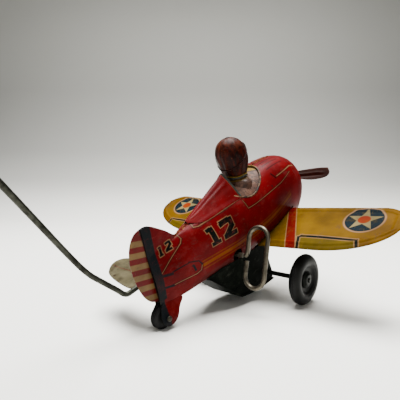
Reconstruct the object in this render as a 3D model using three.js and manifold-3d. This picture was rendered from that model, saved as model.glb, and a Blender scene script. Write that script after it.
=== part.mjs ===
// Clockwork tin aeroplane with a roll-over arm. Millimetres, +Z up, nose towards +Y, starboard +X.
// Everything is drawn in the aeroplane's own frame (x across, y along the body, z up from it),
// then pitched nose-up so that it stands on its main wheels and its tail wheel.
import * as THREE from 'three';
import { mergeVertices } from 'three/addons/utils/BufferGeometryUtils.js';
import Module from 'manifold-3d';

const wasm = await Module();
wasm.setup();

// ---- driving dimensions ----
const PITCH = THREE.MathUtils.degToRad(20);
const SHIFT_Y = -16.18;
const TIN = 0.45;
const WING = { halfSpan: 74.6, chord: 32.0, y: 94.1, z: 16.0, rise: 0.065, incidence: 0.2425 };
const MAIN_WHEEL = { radius: 13.1, width: 6.6, x: 30.6 };
const TAIL_WHEEL = { radius: 5.5, width: 4.4, y: 0.9, z: 5.5 };
const AXLE = { y: 69.0, z: -11.2, radius: 1.25 };
const ARBOR = { y: 46.3, z: 12.6, radius: 1.2 };
const SHAFT = { x: -2.2, z: 23.3, radius: 1.1 };
const NOSE = { y: 103, z: 25.9 };
const PROP = { y: 121.2, z: 26.4, radius: 27, tilt: 0.1 };
const KEY = { inner: 16.0, outer: 26.6, half: 14.3, wire: 1.1, tilt: 0.515 };
const MODULE = 0.85;
const FINE_MODULE = 0.6;

const group = new THREE.Group();
const toWorld = new THREE.Matrix4()
  .makeTranslation(0, SHIFT_Y, 0.012)
  .multiply(new THREE.Matrix4().makeRotationX(PITCH));

function add(name, geometry, color) {
  const clean = new THREE.BufferGeometry();
  clean.setAttribute('position', geometry.getAttribute('position').clone());
  if (geometry.index) clean.setIndex(geometry.index.clone());
  clean.applyMatrix4(toWorld);
  clean.computeVertexNormals();
  const mesh = new THREE.Mesh(clean, new THREE.MeshStandardMaterial({ color }));
  mesh.name = name;
  group.add(mesh);
}

// ---- solids ----
function solid(geometry) {
  const bare = new THREE.BufferGeometry();
  bare.setAttribute('position', geometry.getAttribute('position').clone());
  if (geometry.index) bare.setIndex(geometry.index.clone());
  const merged = mergeVertices(bare, 1e-4);
  return new wasm.Manifold(new wasm.Mesh({
    numProp: 3,
    vertProperties: merged.attributes.position.array,
    triVerts: new Uint32Array(merged.index.array),
  }));
}

function geometryOf(manifold) {
  const mesh = manifold.getMesh();
  const geometry = new THREE.BufferGeometry();
  geometry.setAttribute('position',
    new THREE.BufferAttribute(new Float32Array(mesh.vertProperties), 3));
  geometry.setIndex(Array.from(mesh.triVerts));
  return geometry;
}

// The biggest of a solid's separate bodies.
function largest(manifold) {
  return manifold.decompose().sort((a, b) => b.volume() - a.volume())[0];
}

// A thin sheet through the points of surface(u, v), u and v from 0 to 1, closed round its edge.
function sheet(nu, nv, surface, thickness) {
  const grid = [];
  for (let i = 0; i <= nu; i++) {
    for (let j = 0; j <= nv; j++) grid.push(surface(i / nu, j / nv));
  }
  const at = (i, j) => grid[Math.min(nu, Math.max(0, i)) * (nv + 1) + Math.min(nv, Math.max(0, j))];
  const points = [];
  for (const side of [1, -1]) {
    for (let i = 0; i <= nu; i++) {
      for (let j = 0; j <= nv; j++) {
        const du = at(i + 1, j).clone().sub(at(i - 1, j));
        const dv = at(i, j + 1).clone().sub(at(i, j - 1));
        const normal = du.cross(dv).normalize();
        points.push(at(i, j).clone().addScaledVector(normal, side * thickness / 2));
      }
    }
  }
  const id = (s, i, j) => s * (nu + 1) * (nv + 1) + i * (nv + 1) + j;
  const index = [];
  const quad = (a, b, c, d) => index.push(a, b, c, a, c, d);
  for (let i = 0; i < nu; i++) {
    for (let j = 0; j < nv; j++) {
      quad(id(0, i, j), id(0, i + 1, j), id(0, i + 1, j + 1), id(0, i, j + 1));
      quad(id(1, i, j), id(1, i, j + 1), id(1, i + 1, j + 1), id(1, i + 1, j));
    }
  }
  for (let i = 0; i < nu; i++) {
    quad(id(0, i, 0), id(1, i, 0), id(1, i + 1, 0), id(0, i + 1, 0));
    quad(id(0, i + 1, nv), id(1, i + 1, nv), id(1, i, nv), id(0, i, nv));
  }
  for (let j = 0; j < nv; j++) {
    quad(id(0, 0, j + 1), id(1, 0, j + 1), id(1, 0, j), id(0, 0, j));
    quad(id(0, nu, j), id(1, nu, j), id(1, nu, j + 1), id(0, nu, j + 1));
  }
  const geometry = new THREE.BufferGeometry();
  geometry.setAttribute('position',
    new THREE.Float32BufferAttribute(points.flatMap((p) => p.toArray()), 3));
  geometry.setIndex(index);
  return geometry;
}

function circle(x, y, radius, segments) {
  return Array.from({ length: segments }, (_, k) => {
    const a = k * Math.PI * 2 / segments;
    return new THREE.Vector2(x + radius * Math.cos(a), y + radius * Math.sin(a));
  });
}

// An outline in the side view (y, z), given thickness across x and centred on x.
function plate(outline, x, thickness, holes = []) {
  const shape = new THREE.Shape(outline.map(([y, z]) => new THREE.Vector2(y, z)));
  for (const [y, z, r] of holes) {
    shape.holes.push(new THREE.Path(circle(y, z, r, 10)));
  }
  const geometry = new THREE.ExtrudeGeometry(shape, { depth: thickness, bevelEnabled: false });
  return geometry.applyMatrix4(new THREE.Matrix4().set(
    0, 0, 1, x - thickness / 2,
    1, 0, 0, 0,
    0, 1, 0, 0,
    0, 0, 0, 1,
  ));
}

// A body turned about an axis along x through (y, z); the profile is [x, radius] pairs.
function turnedX(profile, y, z, segments = 24) {
  const geometry = new THREE.LatheGeometry(profile.map(([x, r]) => new THREE.Vector2(r, x)), segments);
  return geometry.applyMatrix4(new THREE.Matrix4().set(
    0, 1, 0, 0,
    1, 0, 0, y,
    0, 0, -1, z,
    0, 0, 0, 1,
  ));
}

// A body turned about an axis along y through (x, z); the profile is [y, radius] pairs.
function turnedY(profile, x, z, segments = 24) {
  const geometry = new THREE.LatheGeometry(profile.map(([y, r]) => new THREE.Vector2(r, y)), segments);
  return geometry.translate(x, 0, z);
}

function rod(x0, x1, y, z, radius, segments = 12) {
  return turnedX([[x0, 0], [x0, radius], [x1, radius], [x1, 0]], y, z, segments);
}

// A box from two corners.
function block(a, b) {
  const size = b.map((value, k) => value - a[k]);
  return new THREE.BoxGeometry(...size).translate(...a.map((value, k) => value + size[k] / 2));
}

// Round wire through the points of a path, mitred at each bend, with flat ends.
function wire(points, radius, segments = 10) {
  const rings = [];
  let side = new THREE.Vector3(1, 0, 0);
  points.forEach((point, k) => {
    const back = k > 0 ? point.clone().sub(points[k - 1]).normalize() : null;
    const ahead = k + 1 < points.length ? points[k + 1].clone().sub(point).normalize() : null;
    const along = new THREE.Vector3().add(back ?? ahead).add(ahead ?? back).normalize();
    if (k === 0 && Math.abs(along.x) > 0.9) side = new THREE.Vector3(0, 1, 0);
    side = side.clone().addScaledVector(along, -side.dot(along)).normalize();
    const other = along.clone().cross(side);
    for (const spot of circle(0, 0, radius, segments)) {
      rings.push(point.clone().addScaledVector(side, spot.x).addScaledVector(other, spot.y));
    }
  });
  const index = [];
  for (let r = 0; r + 1 < points.length; r++) {
    for (let k = 0; k < segments; k++) {
      const n = (k + 1) % segments;
      const p = r * segments;
      const q = p + segments;
      index.push(p + k, p + n, q + n, p + k, q + n, q + k);
    }
  }
  const end = (points.length - 1) * segments;
  for (let k = 1; k + 1 < segments; k++) {
    index.push(0, k + 1, k, end, end + k, end + k + 1);
  }
  const geometry = new THREE.BufferGeometry();
  geometry.setAttribute('position',
    new THREE.Float32BufferAttribute(rings.flatMap((p) => p.toArray()), 3));
  geometry.setIndex(index);
  return geometry;
}

// Points along a smooth curve through the given ones.
function smooth(points, count) {
  return new THREE.CatmullRomCurve3(points, false, 'centripetal').getPoints(count);
}

// A toothed outline round (0, 0): shallow teeth that never touch their neighbours.
function toothed(teeth, inner, outer, phase) {
  const points = [];
  for (let k = 0; k < teeth; k++) {
    const a = (k + phase) * Math.PI * 2 / teeth;
    const step = Math.PI * 2 / teeth;
    for (const [offset, r] of [[-0.24, inner], [-0.1, outer], [0.1, outer], [0.24, inner]]) {
      points.push([r * Math.cos(a + offset * step), r * Math.sin(a + offset * step)]);
    }
  }
  return points;
}

// A spur gear about an axis along x; the phase is the place of a tooth in parts of a pitch.
function gear(teeth, x, thickness, y, z, phase, bore, size = MODULE) {
  const pitch = teeth * size / 2;
  const outline = toothed(teeth, pitch - 0.95 * size, pitch + 0.62 * size, phase);
  return plate(outline.map(([p, q]) => [p + y, q + z]), x, thickness, bore ? [[y, z, bore]] : []);
}

// The phase that puts a tooth gap of a gear on the line towards its driver's tooth.
function meshPhase(teeth, from, to, driverTeeth, driverPhase) {
  const line = Math.atan2(to[1] - from[1], to[0] - from[0]);
  const driverTurn = (line / (Math.PI * 2)) * driverTeeth - driverPhase;
  const ownTurn = ((line + Math.PI) / (Math.PI * 2)) * teeth;
  return ownTurn + driverTurn + 0.5;
}

function lerpTable(table, y) {
  if (y <= table[0][0]) return table[0].slice(1);
  for (let k = 0; k + 1 < table.length; k++) {
    if (y <= table[k + 1][0]) {
      const t = (y - table[k][0]) / (table[k + 1][0] - table[k][0]);
      return table[k].slice(1).map((value, m) => value + t * (table[k + 1][m + 1] - value));
    }
  }
  return table[table.length - 1].slice(1);
}

// ---- body ----
// station y: bottom of the bulge, top of the bulge, half width, top of the fin or seam flange
const BODY = [
  [3.0, 10.2, 33.0, 2.2, 46.0],
  [5.5, 9.8, 33.4, 2.6, 46.1],
  [8.0, 9.3, 33.8, 3.1, 45.4],
  [11.7, 8.7, 34.1, 3.9, 42.7],
  [15.4, 8.3, 34.4, 4.7, 39.7],
  [18.0, 8.1, 34.6, 5.3, 37.0],
  [20.5, 8.0, 34.9, 5.8, 35.5],
  [28.0, 7.7, 36.4, 7.6, 37.0],
  [37.0, 7.1, 38.3, 9.6, 38.9],
  [46.0, 6.4, 40.0, 11.4, 40.6],
  [56.0, 5.9, 41.6, 12.9, 42.2],
  [66.0, 5.6, 43.2, 14.3, 43.8],
  [76.0, 5.6, 44.4, 15.4, 45.0],
  [86.0, 5.8, 45.3, 15.9, 45.9],
  [95.0, 6.4, 45.3, 16.1, 45.9],
  [102.7, 7.2, 44.6, 16.0, 45.2],
];
const FLANGE_ROWS = 2;
const SIDE_ROWS = 12;

function bodyPoint(side, u, v) {
  const stations = BODY.length - 1;
  const y = lerpTable(BODY.map((row, k) => [k, row[0]]), u * stations)[0];
  const [bottom, top, half, crest] = lerpTable(BODY, y);
  const seam = y < 9 ? 0.62 : 0.62 - 0.24 * Math.min(1, (y - 9) / 4);
  const rake = 2.3 * Math.min(1, Math.max(0, (13 - y) / 10));
  const row = v * (FLANGE_ROWS + SIDE_ROWS);
  if (row < FLANGE_ROWS) {
    const z = crest + (top - crest) * row / FLANGE_ROWS;
    return new THREE.Vector3(side * seam, y - rake * (46 - z) / 36, z);
  }
  const angle = (0.5 - (row - FLANGE_ROWS) / SIDE_ROWS) * Math.PI;
  const middle = (top + bottom) / 2;
  const power = angle > 0 ? 0.92 : 0.72;
  const reach = Math.pow(Math.max(0, Math.cos(angle)), power);
  const lift = Math.sign(Math.sin(angle)) * Math.pow(Math.abs(Math.sin(angle)), power);
  const x = seam + (half - seam) * reach;
  const z = middle + lift * (top - bottom) / 2;
  return new THREE.Vector3(side * x, y - rake * (46 - z) / 36, z);
}

const wingZ = (x, y) => WING.z + (y - WING.y) * WING.incidence + WING.rise * Math.abs(x);

// What is taken out of both halves: cockpit, motor bay, wing seat and the hole for the winding arbor.
const COCKPIT = { y: 68.5, halfWidth: 11.9, halfLength: 15.5 };
const cockpitCut = solid(new THREE.CylinderGeometry(1, 1, 40, 32)
  .rotateX(Math.PI / 2).scale(COCKPIT.halfWidth, COCKPIT.halfLength, 1).translate(0, COCKPIT.y, 52));
const bayCut = solid(plate([[29, -5], [62, -5], [62, 10.2], [37, 10.4], [33, 9.4], [29, 8.4]], 0,
  14.6));
const wingCut = solid(plate([
  [60, -5], [94.7, -5], [94.7, wingZ(0, 94.7) + 2.1], [60, wingZ(0, 60) + 2.1],
], 0, 44));
const arborCut = solid(rod(5, 20, ARBOR.y, ARBOR.z, 3.0, 16));
const tailWheelCut = solid(rod(-2.3, 2.3, TAIL_WHEEL.y, TAIL_WHEEL.z, TAIL_WHEEL.radius + 0.45, 20));
const shaftCut = solid(turnedY([[-3, 0], [-3, 1.5], [13, 1.5], [13, 0]], SHAFT.x, SHAFT.z, 12));

const forkLeg = [
  [2.4, 11.2], [12.2, 8.9], [7.9, 5.6], [6.0, 3.6], [4.6, 2.2], [2.6, 1.7], [0.2, 2.0], [-1.5,
  3.6], [-1.9, 6.2], [-0.6, 9.2],
];
function forkSide(side) {
  const leg = plate(forkLeg, 0, TIN, [[TAIL_WHEEL.y, TAIL_WHEEL.z, 0.85]]);
  const position = leg.getAttribute('position');
  for (let k = 0; k < position.count; k++) {
    const splay = Math.min(1, Math.max(0, (11 - position.getZ(k)) / 7));
    position.setX(k, position.getX(k) + side * (2.0 + 2.2 * splay));
  }
  return solid(leg);
}

for (const [name, side] of [['starboard', 1], ['port', -1]]) {
  const skin = sheet(BODY.length - 1, FLANGE_ROWS + SIDE_ROWS, (u, v) => bodyPoint(side,
    side > 0 ? 1 - u : u, v), TIN);
  const half = solid(skin)
    .add(forkSide(side))
    .subtract(cockpitCut)
    .subtract(bayCut)
    .subtract(wingCut)
    .subtract(arborCut)
    .subtract(tailWheelCut)
    .subtract(shaftCut);
  add(`fuselage_${name}`, geometryOf(largest(half)), 0x8c1016);
}

// nose cap: a rounded shell with a flat front and a hole for the propeller pin
const capOuter = [[0, 18.3], [3, 17.9], [6.5, 16.8], [9.5, 15.1], [12.2, 12.6], [14.2, 9.6], [15.3,
  6.4], [15.7, 1.6]];
const capInner = capOuter.slice(0, -1).reverse().map(([y, r]) => [y - 0.55, r - 0.5]);
capInner.unshift([15.15, 1.6]);
capInner[capInner.length - 1] = [0, 17.75];
const capProfile = [...capOuter, ...capInner, capOuter[0]];
add('nose_cap', turnedY(capProfile, 0, 0, 24).scale(0.875, 0.96, 1.02).translate(0, NOSE.y,
  NOSE.z), 0x9c1a18);

// headrest fairing: a pressed gable behind the cockpit
function fairingPoint(u, v) {
  const y = 58.8 - u * 30.6;
  const [, top, half] = lerpTable(BODY, y);
  const across = (v - 0.5) * 2;
  const skirt = (9.7 - 4.7 * u) * (1 - 0.85 * Math.pow(u, 10));
  const x = skirt * across;
  const peak = 49.4 - 11.4 * Math.pow(u, 0.97);
  const mid = (top + 6.5) / 2;
  const foot = mid + (top - mid) * Math.pow(Math.max(0, 1 - Math.pow(Math.abs(skirt) / half, 2.0)),
    0.5) + 0.75;
  const fall = Math.pow(Math.abs(across), 1.25);
  const crown = Math.min(1, Math.abs(across) / 0.12);
  return new THREE.Vector3(x, y, peak - (peak - foot) * fall - 0.25 * crown * (1 - u));
}
const fairing = solid(sheet(10, 12, (u, v) => fairingPoint(u, v), TIN));
const bodyBlank = solid(sheet(BODY.length - 1, FLANGE_ROWS + SIDE_ROWS, (u, v) => bodyPoint(1,
  1 - u, v), TIN + 0.5))
  .add(solid(sheet(BODY.length - 1, FLANGE_ROWS + SIDE_ROWS, (u, v) => bodyPoint(-1, u, v),
    TIN + 0.5)));
add('headrest_fairing', geometryOf(largest(fairing.subtract(bodyBlank))), 0x941217);

// rudder: a flat sheet held in the seam behind the fin
const rudderOutline = [
  [5.6, 14.0], [5.6, 45.6], [3.5, 46.2], [1.2, 46.0], [-0.8, 45.1], [-2.8, 43.2], [-4.5, 40.5],
  [-5.7, 37.2],
  [-6.4, 33.4], [-6.5, 29.5], [-6.1, 25.2], [-5.6, 22.2], [-4.9, 19.5], [-3.7, 16.9], [-2.0, 14.7],
  [0.2, 13.4], [2.2, 13.2],
];
add('rudder', plate(rudderOutline, 0, 0.5), 0xb8a27c);

// ---- wing ----
function wingOutline(x) {
  const t = Math.max(0, Math.abs(x) - 62) / (WING.halfSpan - 62);
  const front = 11.5 * (1 - Math.sqrt(Math.max(0, 1 - t * t)));
  const r = Math.max(0, Math.abs(x) - 40) / (WING.halfSpan - 40);
  const rear = WING.chord - (WING.chord - 11.5) * (1 - Math.sqrt(Math.max(0, 1 - Math.pow(r, 2.1))));
  return [front, rear];
}
const WING_COLUMNS = 36;
const WING_ROWS = 8;
function wingPoint(u, v) {
  const spread = Math.sin((u - 0.5) * Math.PI);
  const x = (0.45 * spread + 0.55 * (u - 0.5) * 2) * (WING.halfSpan - 0.35);
  const [front, rear] = wingOutline(x);
  const rows = [0, 0.05, 0.1, 0.3, 0.55, 0.8, 0.9, 0.95, 1];
  const share = lerpTable(rows.map((value, k) => [k, value]), v * WING_ROWS)[0];
  const c = front + (rear - front) * share;
  const edge = Math.min(c - front, rear - c, (WING.halfSpan - Math.abs(x)) * 1.0);
  const bead = Math.abs(x) > 14 ? 0.4 * Math.exp(-Math.pow((edge - 3.2) / 0.9, 2)) : 0;
  const camber = 1.1 * Math.sin(Math.PI * Math.min(1, c / WING.chord)) * Math.min(1, Math.max(0,
    (Math.abs(x) - 8) / 20)) * 0.6;
  const y = WING.y - c * Math.cos(0.243);
  return new THREE.Vector3(x, y, wingZ(x, y) + bead + camber);
}
add('wing', sheet(WING_COLUMNS, WING_ROWS, (u, v) => wingPoint(1 - u, 1 - v), 0.5), 0xb98a18);

// ---- tailplane (port half) ----
const tailOutline = [
  [-1.3, -2.2], [-5.0, -2.8], [-8.4, -3.9], [-10.8, -4.2], [-21.9, -2.6], [-26.5, -1.6], [-30.4,
  -0.2], [-34.1, 2.1], [-37.4, 5.6],
  [-38.9, 9.3], [-37.6, 12.6], [-33.6, 14.5], [-6.2, 15.2], [-5.0, 11.0], [-3.8, 6.5], [-3.1, 3.0],
  [-2.9, 0.6], [-1.3, -0.2],
];
const tailShape = new THREE.Shape(tailOutline.map(([x, y]) => new THREE.Vector2(x, y)));
add('tailplane_port', new THREE.ExtrudeGeometry(tailShape, { depth: 0.5,
  bevelEnabled: false }).translate(0, 0, 20.3), 0x9a927a);

// ---- tail wheel ----
const tw = TAIL_WHEEL;
const twProfile = [
  [-1.9, 0.8], [-1.9, 3.6], [-1.7, 4.9], [-1.0, 5.5], [-0.4, 5.0], [0, 4.4], [0.4, 5.0], [1.0,
  5.5], [1.7, 4.9], [1.9, 3.6], [1.9, 0.8], [-1.9, 0.8],
];
add('tail_wheel', turnedX(twProfile, tw.y, tw.z, 22), 0x141412);
add('tail_wheel_pin', turnedX([
  [-5.6, 0], [-5.5, 1.0], [-5.1, 1.25], [-4.75, 1.25], [-4.75, 0.5], [4.75, 0.5], [4.75, 1.25],
  [5.1, 1.25], [5.5, 1.0], [5.6, 0],
], tw.y, tw.z, 10), 0x4a3a34);

// ---- main wheels ----
const mw = MAIN_WHEEL;
for (const [name, side] of [['starboard', 1], ['port', -1]]) {
  const tyre = [
    [-1.8, 1.75], [-1.8, 6.6], [-2.7, 7.4], [-3.0, 9.2], [-2.6, 11.2], [-1.4, 12.7], [0.0, 13.1],
    [1.4, 12.7], [2.6, 11.2], [3.0, 9.2], [2.6, 7.5], [1.5, 6.4], [1.0, 5.2], [1.0, 1.75], [-1.8, 1.75],
  ];
  const placed = tyre.map(([x, r]) => [side * (mw.x + x), r]);
  add(`wheel_${name}`, turnedX(side > 0 ? placed : placed.reverse(), AXLE.y, AXLE.z, 28), 0x121212);
  const hub = [
    [1.3, 1.4], [1.3, 4.2], [1.8, 4.0], [2.3, 3.0], [2.7, 2.0], [2.7, 1.4], [1.3, 1.4],
  ].map(([x, r]) => [side * (mw.x + x), r]);
  add(`wheel_cap_${name}`, turnedX(side > 0 ? hub : hub.reverse(), AXLE.y, AXLE.z, 14), 0x1c1c1c);
}
add('front_axle', rod(-mw.x - 3.3, mw.x + 3.3, AXLE.y, AXLE.z, AXLE.radius, 14), 0x1a1a1a);

// ---- motor housing ----
const housingSide = [
  [27.4, 9.5], [28.4, 8.0], [33.0, 2.6], [39.0, -4.6], [43.4, -9.8], [57, -14.2], [72.0, -16.4],
  [72.8, -12], [72.0, -6.8], [70.5, 12], [45, 12],
];
const housingInside = [
  [28.0, 12.5], [29.4, 8.0], [33.8, 2.9], [39.5, -4.1], [43.8, -9.2], [57, -13.6], [71.5, -15.7],
  [72.2, -12], [71.4, -6.8], [69.9, 12.5],
];
const lipSide = [
  [28.0, 8.0], [32.6, 2.4], [38.6, -4.9], [43.2, -10.3], [57, -14.7], [72.4, -16.9], [72.0, -16.3],
  [57, -14.1], [43.4, -9.7], [39.0, -4.5], [33.0, 2.7], [28.5, 8.1],
];
// The housing's outline seen from below; it narrows towards its rear end, as the body over it does.
function housingPlan(offset) {
  const half = [[26, 5.4], [28, 6.0], [36, 8.0], [46, 9.1], [76, 9.1]];
  const outline = half.map(([y, x]) => new THREE.Vector2(x + offset, y));
  outline.push(...half.reverse().map(([y, x]) => new THREE.Vector2(-x - offset, y)));
  return solid(new THREE.ExtrudeGeometry(new THREE.Shape(outline), { depth: 50,
    bevelEnabled: false }).translate(0, 0, -30));
}
const aboveWing = solid(plate([
  [60.5, wingZ(0, 60.5) - 0.8], [96, wingZ(0, 96) - 0.8], [96, 40], [60.5, 40],
], 0, 44));
const housing = solid(plate(housingSide, 0, 24)).intersect(housingPlan(0))
  .add(solid(plate(lipSide, 0, 24)).intersect(housingPlan(0.9)))
  .subtract(solid(plate(housingInside, 0, 24)).intersect(housingPlan(-0.5)))
  .subtract(solid(rod(-14, 14, AXLE.y, AXLE.z, AXLE.radius + 0.35, 16)))
  .subtract(solid(rod(-14, 14, ARBOR.y, ARBOR.z, 2.8, 16)))
  .subtract(bodyBlank)
  .subtract(aboveWing);
add('motor_housing', geometryOf(largest(housing)), 0x1d201d);

// ---- clockwork ----
const A0 = [ARBOR.y, ARBOR.z];
const polar = (from, angle, distance) => [from[0] + distance * Math.cos(angle),
  from[1] + distance * Math.sin(angle)];
const SPUR = { great: 24, pinion: 8, second: 32, idler: 16, axle: 8 };
const reach = (a, b, size = MODULE) => (a + b) * size / 2;
const A1 = polar(A0, -1.19, reach(SPUR.great, SPUR.pinion));
const A3 = [A0[0] + Math.sqrt(reach(SPUR.great, SPUR.pinion) ** 2 - (SHAFT.z - A0[1]) ** 2), SHAFT.z];
const axlePoint = [AXLE.y, AXLE.z];
// the idler's place: where two centre distances meet
const d12 = reach(SPUR.second, SPUR.idler, FINE_MODULE);
const d2x = reach(SPUR.idler, SPUR.axle, FINE_MODULE);
const span = Math.hypot(axlePoint[0] - A1[0], axlePoint[1] - A1[1]);
const along = (d12 ** 2 - d2x ** 2 + span ** 2) / (2 * span);
const off = Math.sqrt(d12 ** 2 - along ** 2);
const ux = (axlePoint[0] - A1[0]) / span;
const uz = (axlePoint[1] - A1[1]) / span;
const A2 = [A1[0] + along * ux - off * uz, A1[1] + along * uz + off * ux];

const plateOutline = [[38.0, -2.2], [45.4, -9.2], [57, -12.9], [70.9, -15.0], [70.9, -8], [66,
  4.5], [61.2, 4.5], [60.4, 28.5], [39.5, 28.5], [36.5, 18]];
for (const [name, side] of [['starboard', 1], ['port', -1]]) {
  add(`motor_plate_${name}`, plate(plateOutline, side * 6.6, 0.7, [
    [A0[0], A0[1], 1.55], [A1[0], A1[1], 1.2], [A2[0], A2[1], 1.2], [A3[0], A3[1], 1.2], [AXLE.y,
    AXLE.z, 1.5],
    [42, 25.5, 0.8], [57.5, -11.2, 0.8], [39.9, -0.6, 0.8],
  ]), 0x6a6a62);
}
for (const [name, y, z] of [['top', 42, 25.5], ['bottom', 57.5, -11.2], ['rear', 39.9, -0.6]]) {
  add(`motor_pillar_${name}`, turnedX([
    [-7.3, 0], [-7.3, 0.5], [-6.0, 0.5], [-6.0, 1.1], [6.0, 1.1], [6.0, 0.5], [7.3, 0.5], [7.3, 0],
  ], y, z, 10), 0x77736a);
}
add('winding_arbor', rod(-7.6, KEY.inner - 2.5, A0[0], A0[1], ARBOR.radius, 14), 0x6f6c64);

// mainspring: a flat spiral strip
const springTurns = 3.6;
function springPoint(u, v) {
  const angle = u * springTurns * Math.PI * 2;
  const r = 1.75 + 5.1 * u;
  return new THREE.Vector3(-5.1 + 4.2 * v, A0[0] + r * Math.cos(angle), A0[1] + r * Math.sin(angle));
}
add('mainspring', sheet(60, 1, (u, v) => springPoint(u, v), 0.3), 0x4f5560);

add('ratchet_wheel', plate(
  Array.from({ length: 24 }, (_, k) => {
    const r = k % 2 ? 3.6 : 4.8;
    const a = (Math.floor(k / 2) + (k % 2 ? 0.08 : 0)) * Math.PI / 6;
    return [A0[0] + r * Math.cos(a), A0[1] + r * Math.sin(a)];
  }), 3.6, 0.7, [[A0[0], A0[1], 1.5]]), 0x8a7440);
const pawlPivot = [A0[0] - 6.6, A0[1] - 3.6];
add('pawl', plate([
  [pawlPivot[0] - 1.0, pawlPivot[1] - 0.9], [pawlPivot[0] + 1.0, pawlPivot[1] - 0.9],
  [pawlPivot[0] + 1.2, pawlPivot[1] + 0.4],
  [A0[0] - 4.75, A0[1] - 0.35], [A0[0] - 5.3, A0[1] + 0.4], [pawlPivot[0] - 0.9, pawlPivot[1] + 0.8],
], 3.6, 0.7, [[pawlPivot[0], pawlPivot[1], 0.55]]), 0x8a7440);

const greatPhase = 0;
const phase1 = meshPhase(SPUR.pinion, A0, A1, SPUR.great, greatPhase);
const phase3 = meshPhase(SPUR.pinion, A0, A3, SPUR.great, greatPhase);
const phaseIdler = meshPhase(SPUR.idler, A1, A2, SPUR.second, 0);
const phaseAxle = meshPhase(SPUR.axle, A2, axlePoint, SPUR.idler, phaseIdler);
add('great_gear', geometryOf(
  solid(gear(SPUR.great, 2.6, 1.0, A0[0], A0[1], greatPhase, 1.5))
    .add(solid(rod(2.9, 4.05, pawlPivot[0], pawlPivot[1], 0.35, 10)))), 0xa08038);
function arborWith(parts, point, from, to) {
  let body = solid(rod(from, to, point[0], point[1], 0.85, 12));
  for (const part of parts) body = body.add(solid(part));
  return geometryOf(body);
}
add('intermediate_arbor', arborWith([
  gear(SPUR.pinion, 2.6, 1.4, A1[0], A1[1], phase1, 0),
  gear(SPUR.second, 4.6, 0.9, A1[0], A1[1], 0, 0, FINE_MODULE),
], A1, -7.4, 7.4), 0x9a7c3c);
add('idler_gear', arborWith([gear(SPUR.idler, 4.6, 1.1, A2[0], A2[1], phaseIdler, 0, FINE_MODULE)],
  A2, -7.4, 7.4), 0x9a7c3c);
add('axle_gear', gear(SPUR.axle, 4.6, 0.9, AXLE.y, AXLE.z, phaseAxle, 1.45, FINE_MODULE), 0x9a7c3c);

// crown gear: turns the drive from across the body to along it
const CROWN = { teeth: 24, radius: 7.4 };
const ARM_PINION = { teeth: 8, radius: 2.47 };
let crown = solid(rod(0.95, 1.65, A3[0], A3[1], CROWN.radius + 0.7, 32))
  .add(solid(rod(-7.4, 7.4, A3[0], A3[1], 0.85, 12)))
  .add(solid(gear(SPUR.pinion, 2.6, 1.4, A3[0], A3[1], phase3, 0)));
for (let k = 0; k < CROWN.teeth; k++) {
  const a = (k + 0.5) * Math.PI * 2 / CROWN.teeth;
  const tooth = block([0.05, CROWN.radius - 0.65, -0.3], [1.2, CROWN.radius + 0.65, 0.3]);
  tooth.applyMatrix4(new THREE.Matrix4().makeRotationX(a)).translate(0, A3[0], A3[1]);
  crown = crown.add(solid(tooth));
}
add('crown_gear', geometryOf(crown), 0x9a7c3c);

// ---- roll-over arm: long shaft, then the bent outer arm, one wire ----
const pinionY = A3[0] - CROWN.radius;
const armPath = [
  new THREE.Vector3(SHAFT.x, pinionY - 1.0, SHAFT.z),
  new THREE.Vector3(SHAFT.x, -9.0, SHAFT.z),
  ...smooth([
    new THREE.Vector3(-2.5, -10.2, 23.4),
    new THREE.Vector3(-3.1, -11.4, 24.3),
    new THREE.Vector3(-3.9, -12.7, 26.5),
    new THREE.Vector3(-5.6, -17.5, 33.6),
    new THREE.Vector3(-6.3, -20.2, 37.8),
    new THREE.Vector3(-6.0, -23.0, 43.6),
    new THREE.Vector3(-3.9, -27.7, 54.5),
    new THREE.Vector3(1.0, -36.3, 74.6),
    new THREE.Vector3(8.5, -45.5, 94.1),
  ], 16),
];
const armWire = solid(wire(armPath, SHAFT.radius, 10));
const armPinion = solid(turnedY([[pinionY - 1.6, 0], [pinionY - 1.6, 1.0], [pinionY + 1.6, 1.0],
  [pinionY + 1.6, 0]], SHAFT.x, SHAFT.z, 10));
let pinionSolid = armWire.add(armPinion);
{
  const outline = toothed(ARM_PINION.teeth, ARM_PINION.radius - 0.75, ARM_PINION.radius + 0.3, 0.0);
  const shape = new THREE.Shape(outline.map(([x, z]) => new THREE.Vector2(x, z)));
  const body = new THREE.ExtrudeGeometry(shape, { depth: 1.8, bevelEnabled: false });
  body.rotateX(Math.PI / 2).translate(SHAFT.x, pinionY + 0.9, SHAFT.z);
  pinionSolid = pinionSolid.add(solid(body));
}
add('roll_over_arm', geometryOf(pinionSolid), 0x3a3a34);

// ---- shaft bearings: cross strips with a hole ----
function bearing(y, halfWidth, low, high) {
  const strip = solid(block([-halfWidth, y, low], [halfWidth, y + 0.7, high]));
  return geometryOf(strip.subtract(solid(turnedY([[y - 1, 0], [y - 1, 1.4], [y + 2, 1.4], [y + 2,
    0]], SHAFT.x, SHAFT.z, 14))));
}
add('shaft_bearing_front', bearing(37.5, 5.9, 20.2, 27.4), 0x6a6a62);
add('shaft_bearing_tail', bearing(14.4, 3.5, 19.5, 27.0), 0x6a6a62);

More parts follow.
